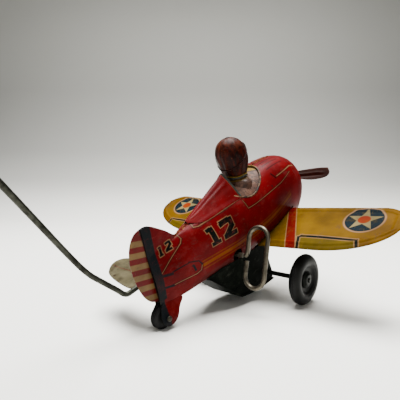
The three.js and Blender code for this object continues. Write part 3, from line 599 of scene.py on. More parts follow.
def red_litho(inks, name, printed=True, shift=0.0, marks=None):
    """Deep red ink, darkening towards the belly as painted shade, with the printed panels, stripes and race number,
    painted shade in the slots and open tail edge, and near-black painted shade on the inner faces.
    """
    f = Finish(name, coat=0.014, coat_roughness=0.12, specular=0.028)
    # Painted shade: the body red darkens from the upper sides towards the belly.
    colour = f.mix(f.over(f.n, 12, 34), inks.red_shaded, inks.red)
    if printed:
        sweep = f.a - 45
        bend = sweep.most(0.0) * sweep * 0.0032 + 18.1
        off = f.n - bend
        stops = f.inside((f.a - 59.6).size() - 34.2, 0.4)
        band = f.inside((off + 0.1).size() - 0.85, 0.25) * stops
        upper = f.inside((off - 1.75).size() - 0.32, 0.18) * stops
        lower = f.inside((off + 2.1).size() - 0.32, 0.18) * stops
        colour = f.mix(band * 0.85, colour, inks.gold)
        colour = f.mix(upper.most(lower) * 0.7, colour, inks.gold_line)
        panels = f.line(TAIL_PANEL[3:], 0.3).least(f.line(FIN_PANEL, 0.3))
        panels = panels.least(f.line(COWL_PANEL, 0.26)).least(f.line(HEADREST_FOOT, 0.36))
        panels = panels.least(f.bar((87.4, 38.2), (102.8, 38.9), 0.42))
        colour = f.mix(f.inside(panels - 0.42, 0.2) * 0.75, colour, inks.shadow_line)
        colour = f.mix(f.inside(panels, 0.12) * 0.8, colour, inks.cream_line)
        starboard = f.over(f.x, -0.01, 0.01)
        read_side = (f.a * 2.0 - 79.8) * starboard + (f.a * -1.0 + 79.8)
        read_fin = (f.a * 2.0 - 24.2) * starboard + (f.a * -1.0 + 24.2)
        figures = f.bars(SIDE_ONE + SIDE_TWO, u=read_side)
        figures = figures.least(f.bars(FIN_ONE + FIN_TWO, u=read_fin) + 0.08)
        colour = f.mix(f.inside(figures - 0.36, 0.12) * 0.85, colour, inks.cream_line)
        colour = f.mix(f.inside(figures, 0.13), colour, inks.figure_black)
        # Painted shade: near black in the slots, the small hole and along the open tail edge, where the dark inside
        # of the body shows.
        slots = f.bars([
            ((4.1, 23.6), (10.6, 21.9), 1.1), ((4.2, 18.2), (9.4, 16.7), 0.9),
            ((20.7, 20.6), (21.4, 17.4), 1.0), ((19.8, 20.4), (20.9, 20.8), 0.55), ((10.0, 22.6),
             (19.2, 22.7), 0.5),
        ])
        slots = slots.least(f.line(TAIL_PANEL[1:4], 0.5))
        tail_edge = f.field([(-3.0, 13.0), (-3.0, 47.5), (8.15, 47.5), (8.0, 41.0), (4.5, 14.0),
            (4.4, 13.0)])
        tail_edge = tail_edge.least(f.field([(-3.0, 0.0), (-3.0, 13.5), (4.4, 13.5), (1.6, 1.6),
            (1.4, 0.0)]))
        holes = f.work("SQRT", (f.a - 80.4) * (f.a - 80.4) + (f.n - 35.3) * (f.n - 35.3)) - 0.4
        dark = f.inside(slots.least(tail_edge).least(holes), 0.16)
        colour = f.mix(dark, colour, inks.gap_shade_and_chip_black)
        rows = f.inside((f.work("PINGPONG", f.x + 26.0, 1.3) - 1.3).size() - 0.26, 0.12)
        rows = rows * f.inside((f.a - 93.0).size() - 8.0, 0.3) * f.over(f.n, 41.0,
            41.6) * f.inside(f.x.size() - 10.2, 0.2)
        colour = f.mix(rows * 0.8, colour, inks.shadow_line)
        lip = f.bar((84.9, 40.6), (86.4, 37.4), 1.1)
        colour = f.mix(f.inside(lip, 0.2), colour, inks.shadow_line)
        # Darker red under the body near the tail.
        belly = f.over(f.n * -1.0, -14.5, -10.5) * f.over(f.a, 14.0, 26.0)
        colour = f.mix(belly * 0.6, colour, inks.belly)
        seam = f.inside(f.x.size() - 1.15, 0.25) * f.over(f.a, 17, 21)
        colour = f.mix(seam * f.over(f.noise(1.8, 4, 0.7), 0.42, 0.6) * 0.75, colour, inks.bare_edge)
    if marks:
        colour = marks(f, colour)
    colour, roughness, height = f.worn(colour, inks.red_rubbed_and_highlight, rub=0.42, shift=shift)
    if printed:
        # The painted shade in the gaps again, laid over the wear.
        colour = f.mix(dark * 0.65, colour, inks.gap_shade_and_chip_black)
    # Painted shade: the inner faces take unprinted tin darkened to near black.
    inner = f.outward()
    colour = f.mix(inner, inks.bare_tin_and_inner_shade, colour)
    return f.done(colour, roughness + 0.30, height)


def yellow_litho(inks):
    """Mustard ink with the star roundels, root stripes and aileron outlines."""
    f = Finish("yellow_litho", specular=0.012)
    s = f.x.size()
    c = (WING_EDGE[0] - f.a) / math.cos(0.243)
    colour = f.mix(f.over(f.noise(26, 2), 0.35, 0.7), inks.yellow_deep_and_shade, inks.yellow)
    colour = f.mix(f.over(s, 40, 75) * 0.35, colour, inks.orange_tint)
    left = s - (c - 5.7) * 0.408 - 16.1
    right = s - c * 0.433 - 18.2
    stripe = (right).most(left * -1.0)
    colour = f.mix(f.inside(stripe - 0.55, 0.2) * 0.7, colour, inks.cream_line)
    colour = f.mix(f.inside(stripe, 0.2), colour, inks.stripe_red)
    flap = f.line([(33.2, 32.4), (30.9, 24.9), (32.1, 24.0), (41.5, 24.0), (59.2, 24.8), (60.5, 29.2)],
        1.35, s, c)
    within = f.field([(33.4, 33.0), (60.6, 33.0), (59.0, 25.0), (31.0, 24.2)], s, c)
    colour = f.mix(f.inside(within, 0.5) * 0.6, colour, inks.green_tint)
    colour = f.mix(f.inside(flap - 0.45, 0.15) * 0.75, colour, inks.cream_line)
    colour = f.mix(f.inside(flap, 0.15), colour, inks.figure_black)
    p, q = s - 58.2, c - 10.3
    far = f.work("SQRT", p * p + q * q)
    angle = f.work("ARCTAN2", p, q * -1.0)
    point = f.work("PINGPONG", angle + 10 * math.pi, math.pi / 5)
    tip, dip = 8.35, 3.35
    ex, ey = dip * math.cos(math.pi / 5) - tip, dip * math.sin(math.pi / 5)
    length = math.hypot(ex, ey)
    along_tip = far * f.work("COSINE", point)
    off_tip = far * f.work("SINE", point)
    star = f.slant(along_tip, off_tip, ey / length, -ex / length, tip * ey / length)
    colour = f.mix(f.inside(far - 9.75, 0.15), colour, inks.roundel_shadow)
    colour = f.mix(f.inside(far - 9.45, 0.15), colour, inks.cream_line)
    colour = f.mix(f.inside(far - 8.75, 0.15), colour, inks.blue)
    colour = f.mix(f.inside(star, 0.15), colour, inks.star_cream)
    colour = f.mix(f.inside(far - 2.9, 0.2), colour, inks.star_orange)
    # Painted shade: under the wing the prints give way to plain yellow, a little darker.
    top = f.facing_up()
    colour = f.mix(top, inks.yellow_deep_and_shade, colour)
    colour, roughness, height = f.worn(colour, inks.yellow_rubbed, chips=0.69, rub=0.28, scratch=0.35,
        shift=3.0)
    return f.done(colour, roughness + 0.38, height)


def rudder_litho(inks):
    """Cream stripes on red, both darkened as painted shade, rubbed and chipped, with a dark ring near the top and
    painted shade along the front edge by the fin.
    """
    f = Finish("rudder_litho", coat=0.03, coat_roughness=0.2, specular=0.08)
    level = f.work("MULTIPLY_ADD", f.a, 0.34, f.n)
    band = f.work("PINGPONG", level - 41.25 + 50.3, 2.515)
    cream = f.inside(band - 1.28, 0.14) * f.inside(level - 43.6, 0.2)
    # Painted shade: the stripes use the shaded red and a darkened cream.
    colour = f.mix(cream, inks.red_shaded, inks.rudder_cream_shaded)
    ring = f.work("SQRT", (f.a - 3.6) * (f.a - 3.6) + (f.n - 44.6) * (f.n - 44.6))
    colour = f.mix(f.inside((ring - 1.0).size() - 0.3, 0.2), colour, inks.gap_shade_and_chip_black)
    # Painted shade: near black along the front edge by the fin, where the gap between the fin skins lies.
    colour = f.mix(f.inside((f.a * -1.0) + 2.1 + (f.n - 30) * 0.03, 0.3), colour, inks.gap_shade_and_chip_black)
    colour, roughness, height = f.worn(colour, inks.rudder_worn, chips=0.66, rub=0.25, shift=7.0)
    return f.done(colour, roughness + 0.34, height)


def tailplane_litho(inks):
    """Grey cream ink, stained, with a fine red hinge line."""
    f = Finish("tailplane_litho", coat=0.0, coat_roughness=0.3, specular=0.06)
    colour = f.mix(f.over(f.noise(5, 5, 0.7), 0.4, 0.66), inks.tail_cream, inks.tail_stain)
    hinge = f.line([(-36.0, 6.6), (-30.0, 6.0), (-6.0, 6.2)], 0.35, f.x, f.a)
    colour = f.mix(f.inside(hinge, 0.15) * 0.85, colour, inks.stripe_red)
    dots = f.work("SQRT", (f.x + 26.6) * (f.x + 26.6) + (f.a - 0.1) * (f.a - 0.1)) - 0.75
    smear = f.bar((-35.5, 7.2), (-33.6, 5.6), 0.7, f.x, f.a)
    colour = f.mix(f.inside(dots.least(smear), 0.25) * 0.8, colour, inks.shadow_line)
    colour, roughness, height = f.worn(colour, inks.tail_rubbed, chips=0.67, rub=0.4, shift=11.0)
    return f.done(colour, roughness + 0.40, height)


def headrest_litho(inks):
    """Red ink, darker along the pressed creases as painted shade, with a painted highlight beside each and a rubbed
    front edge; the cream line along its foot is printed on the body halves.
    """
    def creases(f, colour):
        s = f.x.size()
        share = (58.8 - f.a) / 30.6
        crease = (s - (1 - share) * 3.4 - 0.9).size() - 0.25
        # Painted shade: darker red along each pressed crease.
        colour = f.mix(f.inside(crease, 0.5) * 0.5, colour, inks.red_shaded)
        # Painted highlight: a paler band beside each crease.
        light = f.inside((s - (1 - share) * 4.4 - 1.1).size() - 0.35, 0.7)
        colour = f.mix(light * 0.35, colour, inks.red_rubbed_and_highlight)
        edge = f.inside((f.a - 58.5) * -1.0, 0.3)
        return f.mix(edge * 0.6, colour, inks.bare_edge)
    return red_litho(inks, "headrest_litho", printed=False, shift=5.0, marks=creases)


def nose_litho(inks):
    """Red ink with the cowl lines running on to the rounded nose."""
    def lines(f, colour):
        ring = f.bars([((102.6, 20.0), (102.6, 44.0), 0.4)])
        cap = f.bar((102.6, 38.9), (107.5, 37.4), 0.42)
        colour = f.mix(f.inside(ring, 0.3) * 0.8, colour, inks.shadow_line)
        return f.mix(f.inside(cap, 0.15) * 0.8, colour, inks.cream_line)
    return red_litho(inks, "nose_litho", printed=False, shift=8.0, marks=lines)


def enamel(name, colour, rubbed, chip, rough=0.35, chips=0.69, specular=0.06, rub=0.3, scratch=0.4,
    shift=0.0, bump=0.35):
    f = Finish(name, coat=specular / 4, coat_roughness=0.16, specular=specular)
    worn, roughness, height = f.worn(colour, rubbed, chip, chips, rub, scratch, shift)
    return f.done(worn, roughness + rough, height, bump)


def bare_metal(name, bright, dull, rough=0.3, grain=(1, 6, 1), shift=0.0, stain=0.5):
    """Bare metal with drawn grain, tarnish and small pits."""
    f = Finish(name, metallic=1.0)
    tarnish = f.over(f.noise(4.5, 5, 0.7, shift=shift), 0.38, 0.68)
    grain_lines = f.noise(0.35, 3, 0.6, stretch=grain, shift=shift + 3)
    colour = f.mix(tarnish * stain + grain_lines * 0.25, bright, dull)
    pits = f.over(f.noise(0.8, 3, 0.6, shift=shift + 8), 0.68, 0.73)
    colour = f.mix(pits * 0.7, colour, (0.03, 0.024, 0.02))
    roughness = tarnish * 0.25 + grain_lines * 0.12 + pits * 0.2 + rough
    return f.done(colour, roughness, grain_lines * 0.3 - pits * 0.7, 0.3, 0.08)


def rubber(name, colour, dust, shift=0.0):
    """Moulded rubber: matt black, dusty in places, with fine mould marks."""
    f = Finish(name, specular=0.12)
    patch = f.over(f.noise(5, 5, 0.7, shift=shift), 0.45, 0.75)
    shade = f.mix(patch * 0.5, colour, dust)
    scuff = f.over(f.noise(0.6, 3, 0.6, stretch=(3, 1, 1), shift=shift + 5), 0.6, 0.75)
    shade = f.mix(scuff * 0.3, shade, dust)
    fine = f.noise(0.5, 4, 0.6, shift=shift + 2)
    return f.done(shade, patch * 0.2 + fine * 0.12 + 0.42, fine + scuff * 0.6, 0.25, 0.1)


def pilot_litho(inks):
    """Leather-brown helmet with printed seams; the face keeps plain flesh ink."""
    f = Finish("pilot_litho", coat=0.012, coat_roughness=0.25, specular=0.04)
    ahead = f.a - 70.2
    face_u, face_v = f.x / 5.4, (f.n - 53.2) / 6.6
    oval = (f.work("SQRT", face_u * face_u + face_v * face_v) - 1.0) * 5.8
    seam = f.x.size() - 0.28
    side_seam = (f.work("SQRT", ahead * ahead + (f.n - 54.5) * (f.n - 54.5)) - 5.6).size() - 0.22
    folds = f.over(f.noise(1.5, 4, 0.6, stretch=(1, 1, 6.0)), 0.46, 0.62)
    colour = f.mix(folds, inks.leather_dark, inks.leather)
    # Painted highlight: paler leather towards the crown of the helmet.
    crown = f.over(f.n, 57, 64.5) * f.over(f.noise(3.0, 3, 0.6), 0.35, 0.6)
    colour = f.mix(crown * 0.7, colour, inks.leather_light)
    colour = f.mix(f.inside(seam.least(side_seam), 0.25) * 0.75, colour, inks.figure_black)
    stitch = f.inside((f.x.size() - 0.95).size() - 0.12, 0.12) * f.over(f.work("PINGPONG", f.n, 0.7),
        0.25, 0.4)
    colour = f.mix(stitch * 0.5, colour, inks.leather_light)
    front = f.over(ahead, 1.0, 2.0)
    face = f.inside(oval, 0.15) * front
    flesh = f.mix(f.over(f.noise(2.2, 3), 0.35, 0.65), inks.flesh, inks.flesh_warm)
    eye_u, eye_v = f.x.size() - 2.55, f.n - 54.6
    eye = f.work("SQRT", eye_u * eye_u + eye_v * eye_v * 3.4) - 0.95
    iris = f.work("SQRT", eye_u * eye_u + eye_v * eye_v) - 0.42
    brow = (eye_v - 1.45 + eye_u * 0.1).size() - 0.22
    brow = brow.most(eye_u.size() - 1.25)
    mouth = (f.n - 50.05).size() - 0.28
    mouth = mouth.most(f.x.size() - 1.7)
    flesh = f.mix(f.inside(mouth, 0.15), flesh, inks.lip)
    flesh = f.mix(f.inside(brow, 0.12), flesh, inks.leather_dark)
    flesh = f.mix(f.inside(eye, 0.1), flesh, inks.star_cream)
    flesh = f.mix(f.inside(iris, 0.1), flesh, inks.figure_black)
    colour = f.mix(face, colour, flesh)
    colour, roughness, height = f.worn(colour, inks.leather_light, chips=0.69, rub=0.25, shift=15.0)
    return f.done(colour, roughness + 0.33, height)


def jacket_litho(inks):
    """Brown flying jacket, creased, with a yellow collar line and a buttoned front."""
    f = Finish("jacket_litho", coat=0.08, coat_roughness=0.3, specular=0.2)
    crease = f.over(f.noise(2.0, 6, 0.72, stretch=(1, 1, 1.8)), 0.47, 0.55)
    soft = f.over(f.noise(5.0, 3, 0.6, shift=3), 0.4, 0.65)
    colour = f.mix(soft, inks.jacket, inks.jacket_light)
    colour = f.mix(crease * 0.55, colour, inks.jacket_dark)
    collar = f.inside((f.n - 43.7).size() - 0.32, 0.15)
    colour = f.mix(collar * 0.85, colour, inks.yellow)
    front = f.over(f.a, 71, 72) * f.inside(f.x.size() - 0.25, 0.15)
    colour = f.mix(front * 0.8, colour, inks.figure_black)
    colour, roughness, height = f.worn(colour, inks.jacket_light, chips=0.68, rub=0.35, shift=21.0)
    return f.done(colour, roughness + 0.42, height + crease * -0.5, 0.4)


# ---------------------------------------------------------------- sizes and colours


def ink(label, colour, about):
    return FloatVectorProperty(
        name=label, description=about, subtype="COLOR", size=3, min=0.0, max=1.0, default=colour
    )


class TinAeroplaneInks(bpy.types.PropertyGroup):
    """Printed inks, enamels and bare metals, with the colours that paint shade and highlights on them."""

    red: ink("Red", (0.078, 0.0012, 0.0024), "Body red, upper sides")
    # Painted shade of the body red: towards the belly, on the rudder and in the headrest creases.
    red_shaded: ink("Red shade", (0.064, 0.0007, 0.0011), "Body red towards the belly")
    # Red rubbed pale; also the painted highlight beside the headrest creases.
    red_rubbed_and_highlight: ink("Red rubbed", (0.11, 0.014, 0.013), "Red where it is rubbed pale")
    # Darker red under the body near the tail.
    belly: ink("Belly", (0.012, 0.005, 0.004), "Soiled red under the body")
    gold: ink("Gold", (0.11, 0.029, 0.001), "Broad stripe along the side")
    gold_line: ink("Gold line", (0.1, 0.024, 0.001), "Narrow stripes along the side")
    cream_line: ink("Cream line", (0.16, 0.09, 0.042), "Outlines of panels and figures")
    shadow_line: ink("Shadow line", (0.012, 0.001, 0.001), "Dark side of the panel lines")
    figure_black: ink("Figure black", (0.002, 0.003, 0.0022), "Race number and aileron outline")
    # Painted shade in the slots, the hole and the open tail edge; also the colour of dark chips.
    gap_shade_and_chip_black: ink("Gap black", (0.004, 0.005, 0.006), "Slots and the open tail edge")
    bare_edge: ink("Bare edge", (0.2, 0.075, 0.03), "Worn edges of the seam")
    # Unprinted tin darkened to near black as painted shade on the inner faces; also the colour of chips on the
    # wheel caps.
    bare_tin_and_inner_shade: ink("Bare tin", (0.008, 0.008, 0.006), "Unprinted inside of the pressings")
    yellow: ink("Yellow", (0.084, 0.0425, 0), "Wing yellow")
    # Deeper yellow in random patches; also painted shade under the wing.
    yellow_deep_and_shade: ink("Yellow shade", (0.066, 0.032, 0), "Wing yellow where it is deeper")
    yellow_rubbed: ink("Yellow rubbed", (0.11, 0.066, 0.003), "Yellow where it is rubbed pale")
    orange_tint: ink("Orange tint", (0.08, 0.031, 0), "Warmer yellow towards the tips")
    green_tint: ink("Green tint", (0.04, 0.034, 0.0005), "Aileron panel tint")
    stripe_red: ink("Stripe red", (0.075, 0.0015, 0.0005), "Root stripe and hinge line")
    blue: ink("Blue", (0.0008, 0.0055, 0.009), "Roundel field")
    star_cream: ink("Star cream", (0.12, 0.095, 0.04), "Star and eyes")
    star_orange: ink("Star orange", (0.13, 0.012, 0), "Middle of the star")
    roundel_shadow: ink("Roundel shadow", (0.10, 0.05, 0.02), "Fine ring round the roundel")
    # Rudder cream, darkened as painted shade.
    rudder_cream_shaded: ink("Rudder cream", (0.1, 0.06, 0.022), "Rudder stripes")
    rudder_worn: ink("Rudder worn", (0.06, 0.024, 0.01), "Rubbed rudder")
    tail_cream: ink("Tail cream", (0.075, 0.066, 0.034), "Tailplane ink")
    tail_stain: ink("Tail stain", (0.04, 0.032, 0.015), "Stains on the tailplane")
    tail_rubbed: ink("Tail rubbed", (0.12, 0.105, 0.062), "Tailplane where it is rubbed pale")
    leather: ink("Leather", (0.036, 0.0032, 0.001), "Helmet")
    leather_dark: ink("Leather dark", (0.01, 0.0015, 0.001), "Helmet folds")
    leather_light: ink("Leather light", (0.085, 0.019, 0.008), "Helmet highlights")
    flesh: ink("Flesh", (0.55, 0.28, 0.17), "Face")
    flesh_warm: ink("Flesh warm", (0.50, 0.20, 0.11), "Face, warmer")
    lip: ink("Lip", (0.33, 0.05, 0.03), "Mouth")
    jacket: ink("Jacket", (0.045, 0.018, 0.01), "Jacket")
    jacket_light: ink("Jacket light", (0.085, 0.04, 0.025), "Jacket highlights")
    jacket_dark: ink("Jacket dark", (0.008, 0.003, 0.002), "Jacket creases")
    scarf: ink("Scarf", (0.03, 0.033, 0.028), "Scarf and headrest roll")
    housing: ink("Housing", (0.0032, 0.0042, 0.0032), "Motor housing enamel")
    housing_rubbed: ink("Housing rubbed", (0.013, 0.0155, 0.0115), "Housing where it is rubbed")
    tyre: ink("Tyre", (0.0015, 0.0015, 0.0015), "Rubber")
    tyre_dust: ink("Tyre dust", (0.006, 0.006, 0.005), "Dust on the rubber")
    propeller: ink("Propeller", (0.03, 0.006, 0.004), "Propeller enamel")
    propeller_rubbed: ink("Propeller rubbed", (0.09, 0.035, 0.026), "Propeller where it is rubbed")
    steel: ink("Steel", (0.11, 0.096, 0.072), "Key wire and plates")
    steel_dull: ink("Steel dull", (0.03, 0.027, 0.02), "Tarnished steel")
    arm_steel: ink("Arm steel", (0.035, 0.036, 0.028), "Roll-over arm")
    arm_dull: ink("Arm dull", (0.012, 0.012, 0.009), "Roll-over arm, tarnished")
    brass: ink("Brass", (0.52, 0.36, 0.13), "Gears")
    brass_dull: ink("Brass dull", (0.20, 0.13, 0.05), "Tarnished brass")


class TinAeroplaneSizes(bpy.types.PropertyGroup):
    """Sizes of the pieces that only the looks have."""

    lip: FloatProperty(
        name="Cockpit lip", description="Radius of the rolled cockpit edge", default=0.00045,
        min=0.0002, max=0.001, subtype="DISTANCE", unit="LENGTH",
    )
    rivet: FloatProperty(
        name="Rivet", description="Radius of the small rivet heads", default=0.0007,
        min=0.0003, max=0.0015, subtype="DISTANCE", unit="LENGTH",
    )
    edge: FloatProperty(
        name="Sheet edge", description="Rounding of the cut sheet edges", default=0.00010,
        min=0.00002, max=0.0002, subtype="DISTANCE", unit="LENGTH",
    )


class TinAeroplaneStudio(bpy.types.PropertyGroup):
    """Light and backdrop."""

    key: FloatProperty(name="Overhead light", description="Power of the overhead softbox",
                       default=13.2, min=0.0, unit="POWER")
    fill: FloatProperty(name="Front light", description="Power of the softbox beside the camera",
                        default=0.6, min=0.0, unit="POWER")
    room: FloatProperty(name="Room light", description="Strength of the light from all round",
                        default=0.08, min=0.0)
    paper: FloatVectorProperty(name="Paper", description="Colour of the floor and backdrop",
                               subtype="COLOR", size=3, min=0.0, max=1.0, default=(0.80, 0.80, 0.765))


def inks_of(context):
    return context.scene.tin_aeroplane_inks


# ---------------------------------------------------------------- pieces


class MakeBodyHalves(bpy.types.Operator):
    """Presses both halves of the body, with the fin skins and the tail wheel's fork legs"""

    bl_idname = "tin_aeroplane.body_halves"
    bl_label = "Body halves"

    def execute(self, context):
        inks = inks_of(context)
        litho = red_litho(inks, "body_litho")
        for name, side in (("starboard", 1), ("port", -1)):
            half = thick_sheet(
                f"body_half_{name}", lambda u, v, side=side: body_point(side, u, v), 110, 42, TIN
            )
            wing_low, wing_high = (WING_EDGE[1] + (a - WING_EDGE[0]) * WING_SLOPE + 2.1 for a in (60,
                94.7))
            oval = [
                (COCKPIT[1] * math.cos(k * math.tau / 72),
                 COCKPIT[0] + COCKPIT[2] * math.sin(k * math.tau / 72))
                for k in range(72)
            ]
            cutters = [
                slab("cut_cockpit", oval, 32, 72, plane="top", edge=0),
                slab("cut_wing", [(60, -5), (94.7, -5), (94.7, wing_high), (60, wing_low)], -22, 22,
                    edge=0),
                slab("cut_bay", [(29, -5), (62, -5), (62, 10.2), (37, 10.4), (33, 9.4), (29, 8.4)],
                    -7.3, 7.3, edge=0),
                turned("cut_arbor", [(5, 0), (5, 3.0), (20, 3.0), (20, 0)], (0, *ARBOR), "x", 32),
                turned("cut_shaft", [(-3, 0), (-3, 1.5), (13, 1.5), (13, 0)], (-2.2, 0, 23.3), "a", 24),
                turned("cut_wheel", [(-2.3, 0), (-2.3, 5.95), (2.3, 5.95), (2.3, 0)], (0, *TAIL_AXLE),
                    "x", 48),
            ]
            cut_away(half, cutters)
            soften(half, context.scene.tin_aeroplane_sizes.edge / MM)
            dress(half, litho, "airframe", "red_tin", f"fuselage_{name}")
            self.fork_leg(context, name, side, litho)
        return {"FINISHED"}

    def fork_leg(self, context, name, side, litho):
        """The leg that holds the tail wheel, splayed out over it."""
        edge = rounded([
            (4.6, 12.4, 0), (12.4, 9.2, 0), (9.2, 6.4, 0), (7.4, 4.6, 0), (5.6, 2.6, 0), (3.2, 1.6,
             0), (0.6, 1.8, 0),
            (-1.4, 3.4, 0), (-1.9, 6.2, 0), (-0.6, 9.2, 0), (1.6, 11.6, 0),
        ], 4, closed=True)
        rim = [(p.x, p.y) for p in edge]
        middle = (2.6, 6.8)
        rows = 8

        def spot(k, share, layer):
            a = middle[0] + (rim[k][0] - middle[0]) * share
            n = middle[1] + (rim[k][1] - middle[1]) * share
            splay = min(1.0, max(0.0, (11 - n) / 7))
            return (side * (2.0 + 2.2 * splay + (layer - 0.5) * TIN), a, n)

        points, faces = [], []
        count = len(rim)
        for layer in (0, 1):
            for r in range(1, rows + 1):
                points += [spot(k, r / rows, layer) for k in range(count)]
        for layer in (0, 1):
            base = layer * rows * count
            for r in range(rows - 1):
                for k in range(count):
                    m = (k + 1) % count
                    faces.append((base + r * count + k, base + r * count + m,
                                  base + (r + 1) * count + m, base + (r + 1) * count + k))
            faces.append(tuple(base + k for k in range(count)))
        outer = (rows - 1) * count
        for k in range(count):
            m = (k + 1) % count
            faces.append((outer + k, outer + m, rows * count + outer + m, rows * count + outer + k))
        leg = piece_from(f"fork_leg_{name}", points, faces)
        soften(leg, 0.1)
        dress(leg, litho, "airframe", "red_tin")


class MakeCockpitLip(bpy.types.Operator):
    """Rolls the yellow edge round the cockpit"""

    bl_idname = "tin_aeroplane.cockpit_lip"
    bl_label = "Cockpit lip"

    def execute(self, context):
        inks = inks_of(context)
        radius = context.scene.tin_aeroplane_sizes.lip / MM
        path = []
        for k in range(96):
            t = k * math.tau / 96
            x = (COCKPIT[1] + 0.05) * math.cos(t)
            a = COCKPIT[0] + (COCKPIT[2] + 0.05) * math.sin(t)
            path.append((x, a, body_top(x, a) + 0.15))
        lip = tube("cockpit_lip", path, radius, closed=True, sides=12)
        f = Finish("lip_print", specular=0.1)
        colour = f.mix(f.over(f.noise(4, 4, 0.7), 0.42, 0.6), inks.jacket_dark, inks.cream_line)
        colour = f.mix(f.over(f.a + f.x * -0.8, 79.0, 80.5), colour, inks.yellow_rubbed)
        worn, roughness, height = f.worn(colour, inks.cream_line, shift=2.0)
        dress(lip, f.done(worn, roughness + 0.4, height), "airframe", "yellow_tin")
        self.insert(inks)
        return {"FINISHED"}

    def insert(self, inks):
        """The printed dish that closes the cockpit round the pilot's shoulders."""
        def dish(u, v):
            t, ring = u * math.tau, 0.02 + 0.98 * v
            x = (COCKPIT[1] - 0.15) * ring * math.cos(t)
            a = COCKPIT[0] + (COCKPIT[2] - 0.15) * ring * math.sin(t)
            rim_x = (COCKPIT[1] - 0.15) * math.cos(t)
            rim_a = COCKPIT[0] + (COCKPIT[2] - 0.15) * math.sin(t)
            rim = body_top(rim_x, rim_a) - 0.75
            share = ring**1.7
            crease = 0.16 * math.sin(9 * t + 5 * ring) * math.sin(math.pi * ring)
            return (x, a, rim * share + 43.5 * (1 - share) + crease)
        floor = thick_sheet("cockpit_insert", dish, 72, 16, 0.4, sharp=60)
        f = Finish("insert_print", specular=0.08)
        crease = f.over(f.noise(2.4, 6, 0.72, stretch=(1, 1, 1.8), shift=4), 0.5, 0.56)
        colour = f.mix(f.over(f.noise(6.0, 3, 0.6, shift=3), 0.4, 0.6), inks.jacket, inks.jacket_light)
        colour = f.mix(crease * 0.7, colour, inks.jacket_dark)
        u, v = f.x / 11.75, (f.a - COCKPIT[0]) / 15.35
        ring = f.work("SQRT", u * u + v * v)
        front = f.over(f.a + f.x * -0.8, 77.5, 78.1)
        colour = f.mix(front, colour, inks.yellow_rubbed)
        colour = f.mix(f.inside((f.a + f.x * -0.8 - 77.3).size() - 0.25, 0.2), colour,
            inks.figure_black)
        colour = f.mix(f.over(ring, 0.93, 0.97) * 0.85, colour, inks.jacket_dark)
        worn, roughness, height = f.worn(colour, inks.jacket_light, chips=0.68, shift=33.0)
        dress(floor, f.done(worn, roughness + 0.42, height + crease * -0.6, 0.4), "airframe",
            "pilot_tin")


class MakeNose(bpy.types.Operator):
    """Spins the nose cap, with the rolled joint behind it and the hole for the propeller pin"""

    bl_idname = "tin_aeroplane.nose"
    bl_label = "Nose cap"

    def execute(self, context):
        inks = inks_of(context)
        outer = [(0, 18.3), (3, 17.9), (6.5, 16.8), (9.5, 15.1), (12.2, 12.6), (14.2, 9.6),
            (15.3, 6.4), (15.7, 1.6)]
        curve = [(p.x, p.y) for p in rounded([(a, r, 0) for a, r in outer], 5)]
        inner = [(a - 0.5, r - 0.45) for a, r in reversed(curve[:-1])]
        profile = curve + [(15.15, 1.6)] + inner + [curve[0]]
        points, faces = [], []
        around, count = 96, len(profile)
        for k in range(around):
            t = k * math.tau / around
            up = math.sin(t)
            power = 0.92 if up > 0 else 0.72
            for a, r in profile:
                free = min(1.0, max(0.0, a / 11.0)) ** 0.8
                x = 16.0 * math.copysign(abs(math.cos(t)) ** power,
                    math.cos(t)) * (1 - free) + 16.0 * math.cos(t) * free
                n = 18.7 * math.copysign(abs(up) ** power, up) * (1 - free) + 18.7 * up * free
                points.append((x * r / 18.3, 103.0 + a, 25.9 + n * r / 18.3))
        for k in range(around):
            m = (k + 1) % around
            faces += [(k * count + j, k * count + j + 1, m * count + j + 1,
                m * count + j) for j in range(count - 1)]
        cap = piece_from("nose_cap_shell", points, faces)
        soften(cap, 0.1)
        dress(cap, nose_litho(inks), "airframe", "red_tin", "nose_cap")
        return {"FINISHED"}


def headrest_point(u, v):
    """The pressed gable behind the cockpit: u from its open front to its tail, v from foot to foot."""
    a = 58.8 - u * 30.6
    top, half = eased(STATIONS, a)[1:3]
    across = (v - 0.5) * 2
    skirt = (9.7 - 4.7 * u) * (1 - 0.85 * u**10)
    peak = 49.4 - 11.4 * u**0.97
    middle = (top + 6.5) / 2
    foot = middle + (top - middle) * math.sqrt(max(0.0, 1 - (skirt / half) ** 2)) + 0.75
    crown = min(1.0, abs(across) / 0.12)
    outer_rib = 0.42 * math.exp(-(((abs(across) - 0.34) / 0.05) ** 2))
    inner_rib = 0.3 * math.exp(-(((abs(across) - 0.12) / 0.04) ** 2))
    ribs = outer_rib + inner_rib
    n = ribs * math.sin(math.pi * min(1.0, max(0.0,
        u * 1.04))) ** 0.4 + peak - (peak - foot) * abs(across) ** 1.25 - 0.25 * crown * (1 - u)
    x = skirt * across
    floor = body_top(x, a) + 0.2
    return (x, a, max(n, floor))


class MakeHeadrest(bpy.types.Operator):
    """Presses the headrest fairing and the bare roll along its open front"""

    bl_idname = "tin_aeroplane.headrest"
    bl_label = "Headrest fairing"

    def execute(self, context):
        inks = inks_of(context)
        fairing = thick_sheet("headrest_shell", headrest_point, 44, 40, TIN, sharp=50)
        soften(fairing, 0.1, angle=50)
        dress(fairing, headrest_litho(inks), "airframe", "red_tin", "headrest_fairing")
        path = [Vector(headrest_point(0.0, 0.03 + 0.94 * k / 40)) + Vector((0, 0.5,
            0.05)) for k in range(41)]
        roll = tube("headrest_roll", path, 0.75, sides=14, squeeze=0.8)
        finish = enamel("roll_grey", inks.scarf, inks.tail_stain, inks.gap_shade_and_chip_black, 0.4, 0.66, rub=0.5,
            shift=6)
        dress(roll, finish, "airframe", "scarf_tin")
        return {"FINISHED"}


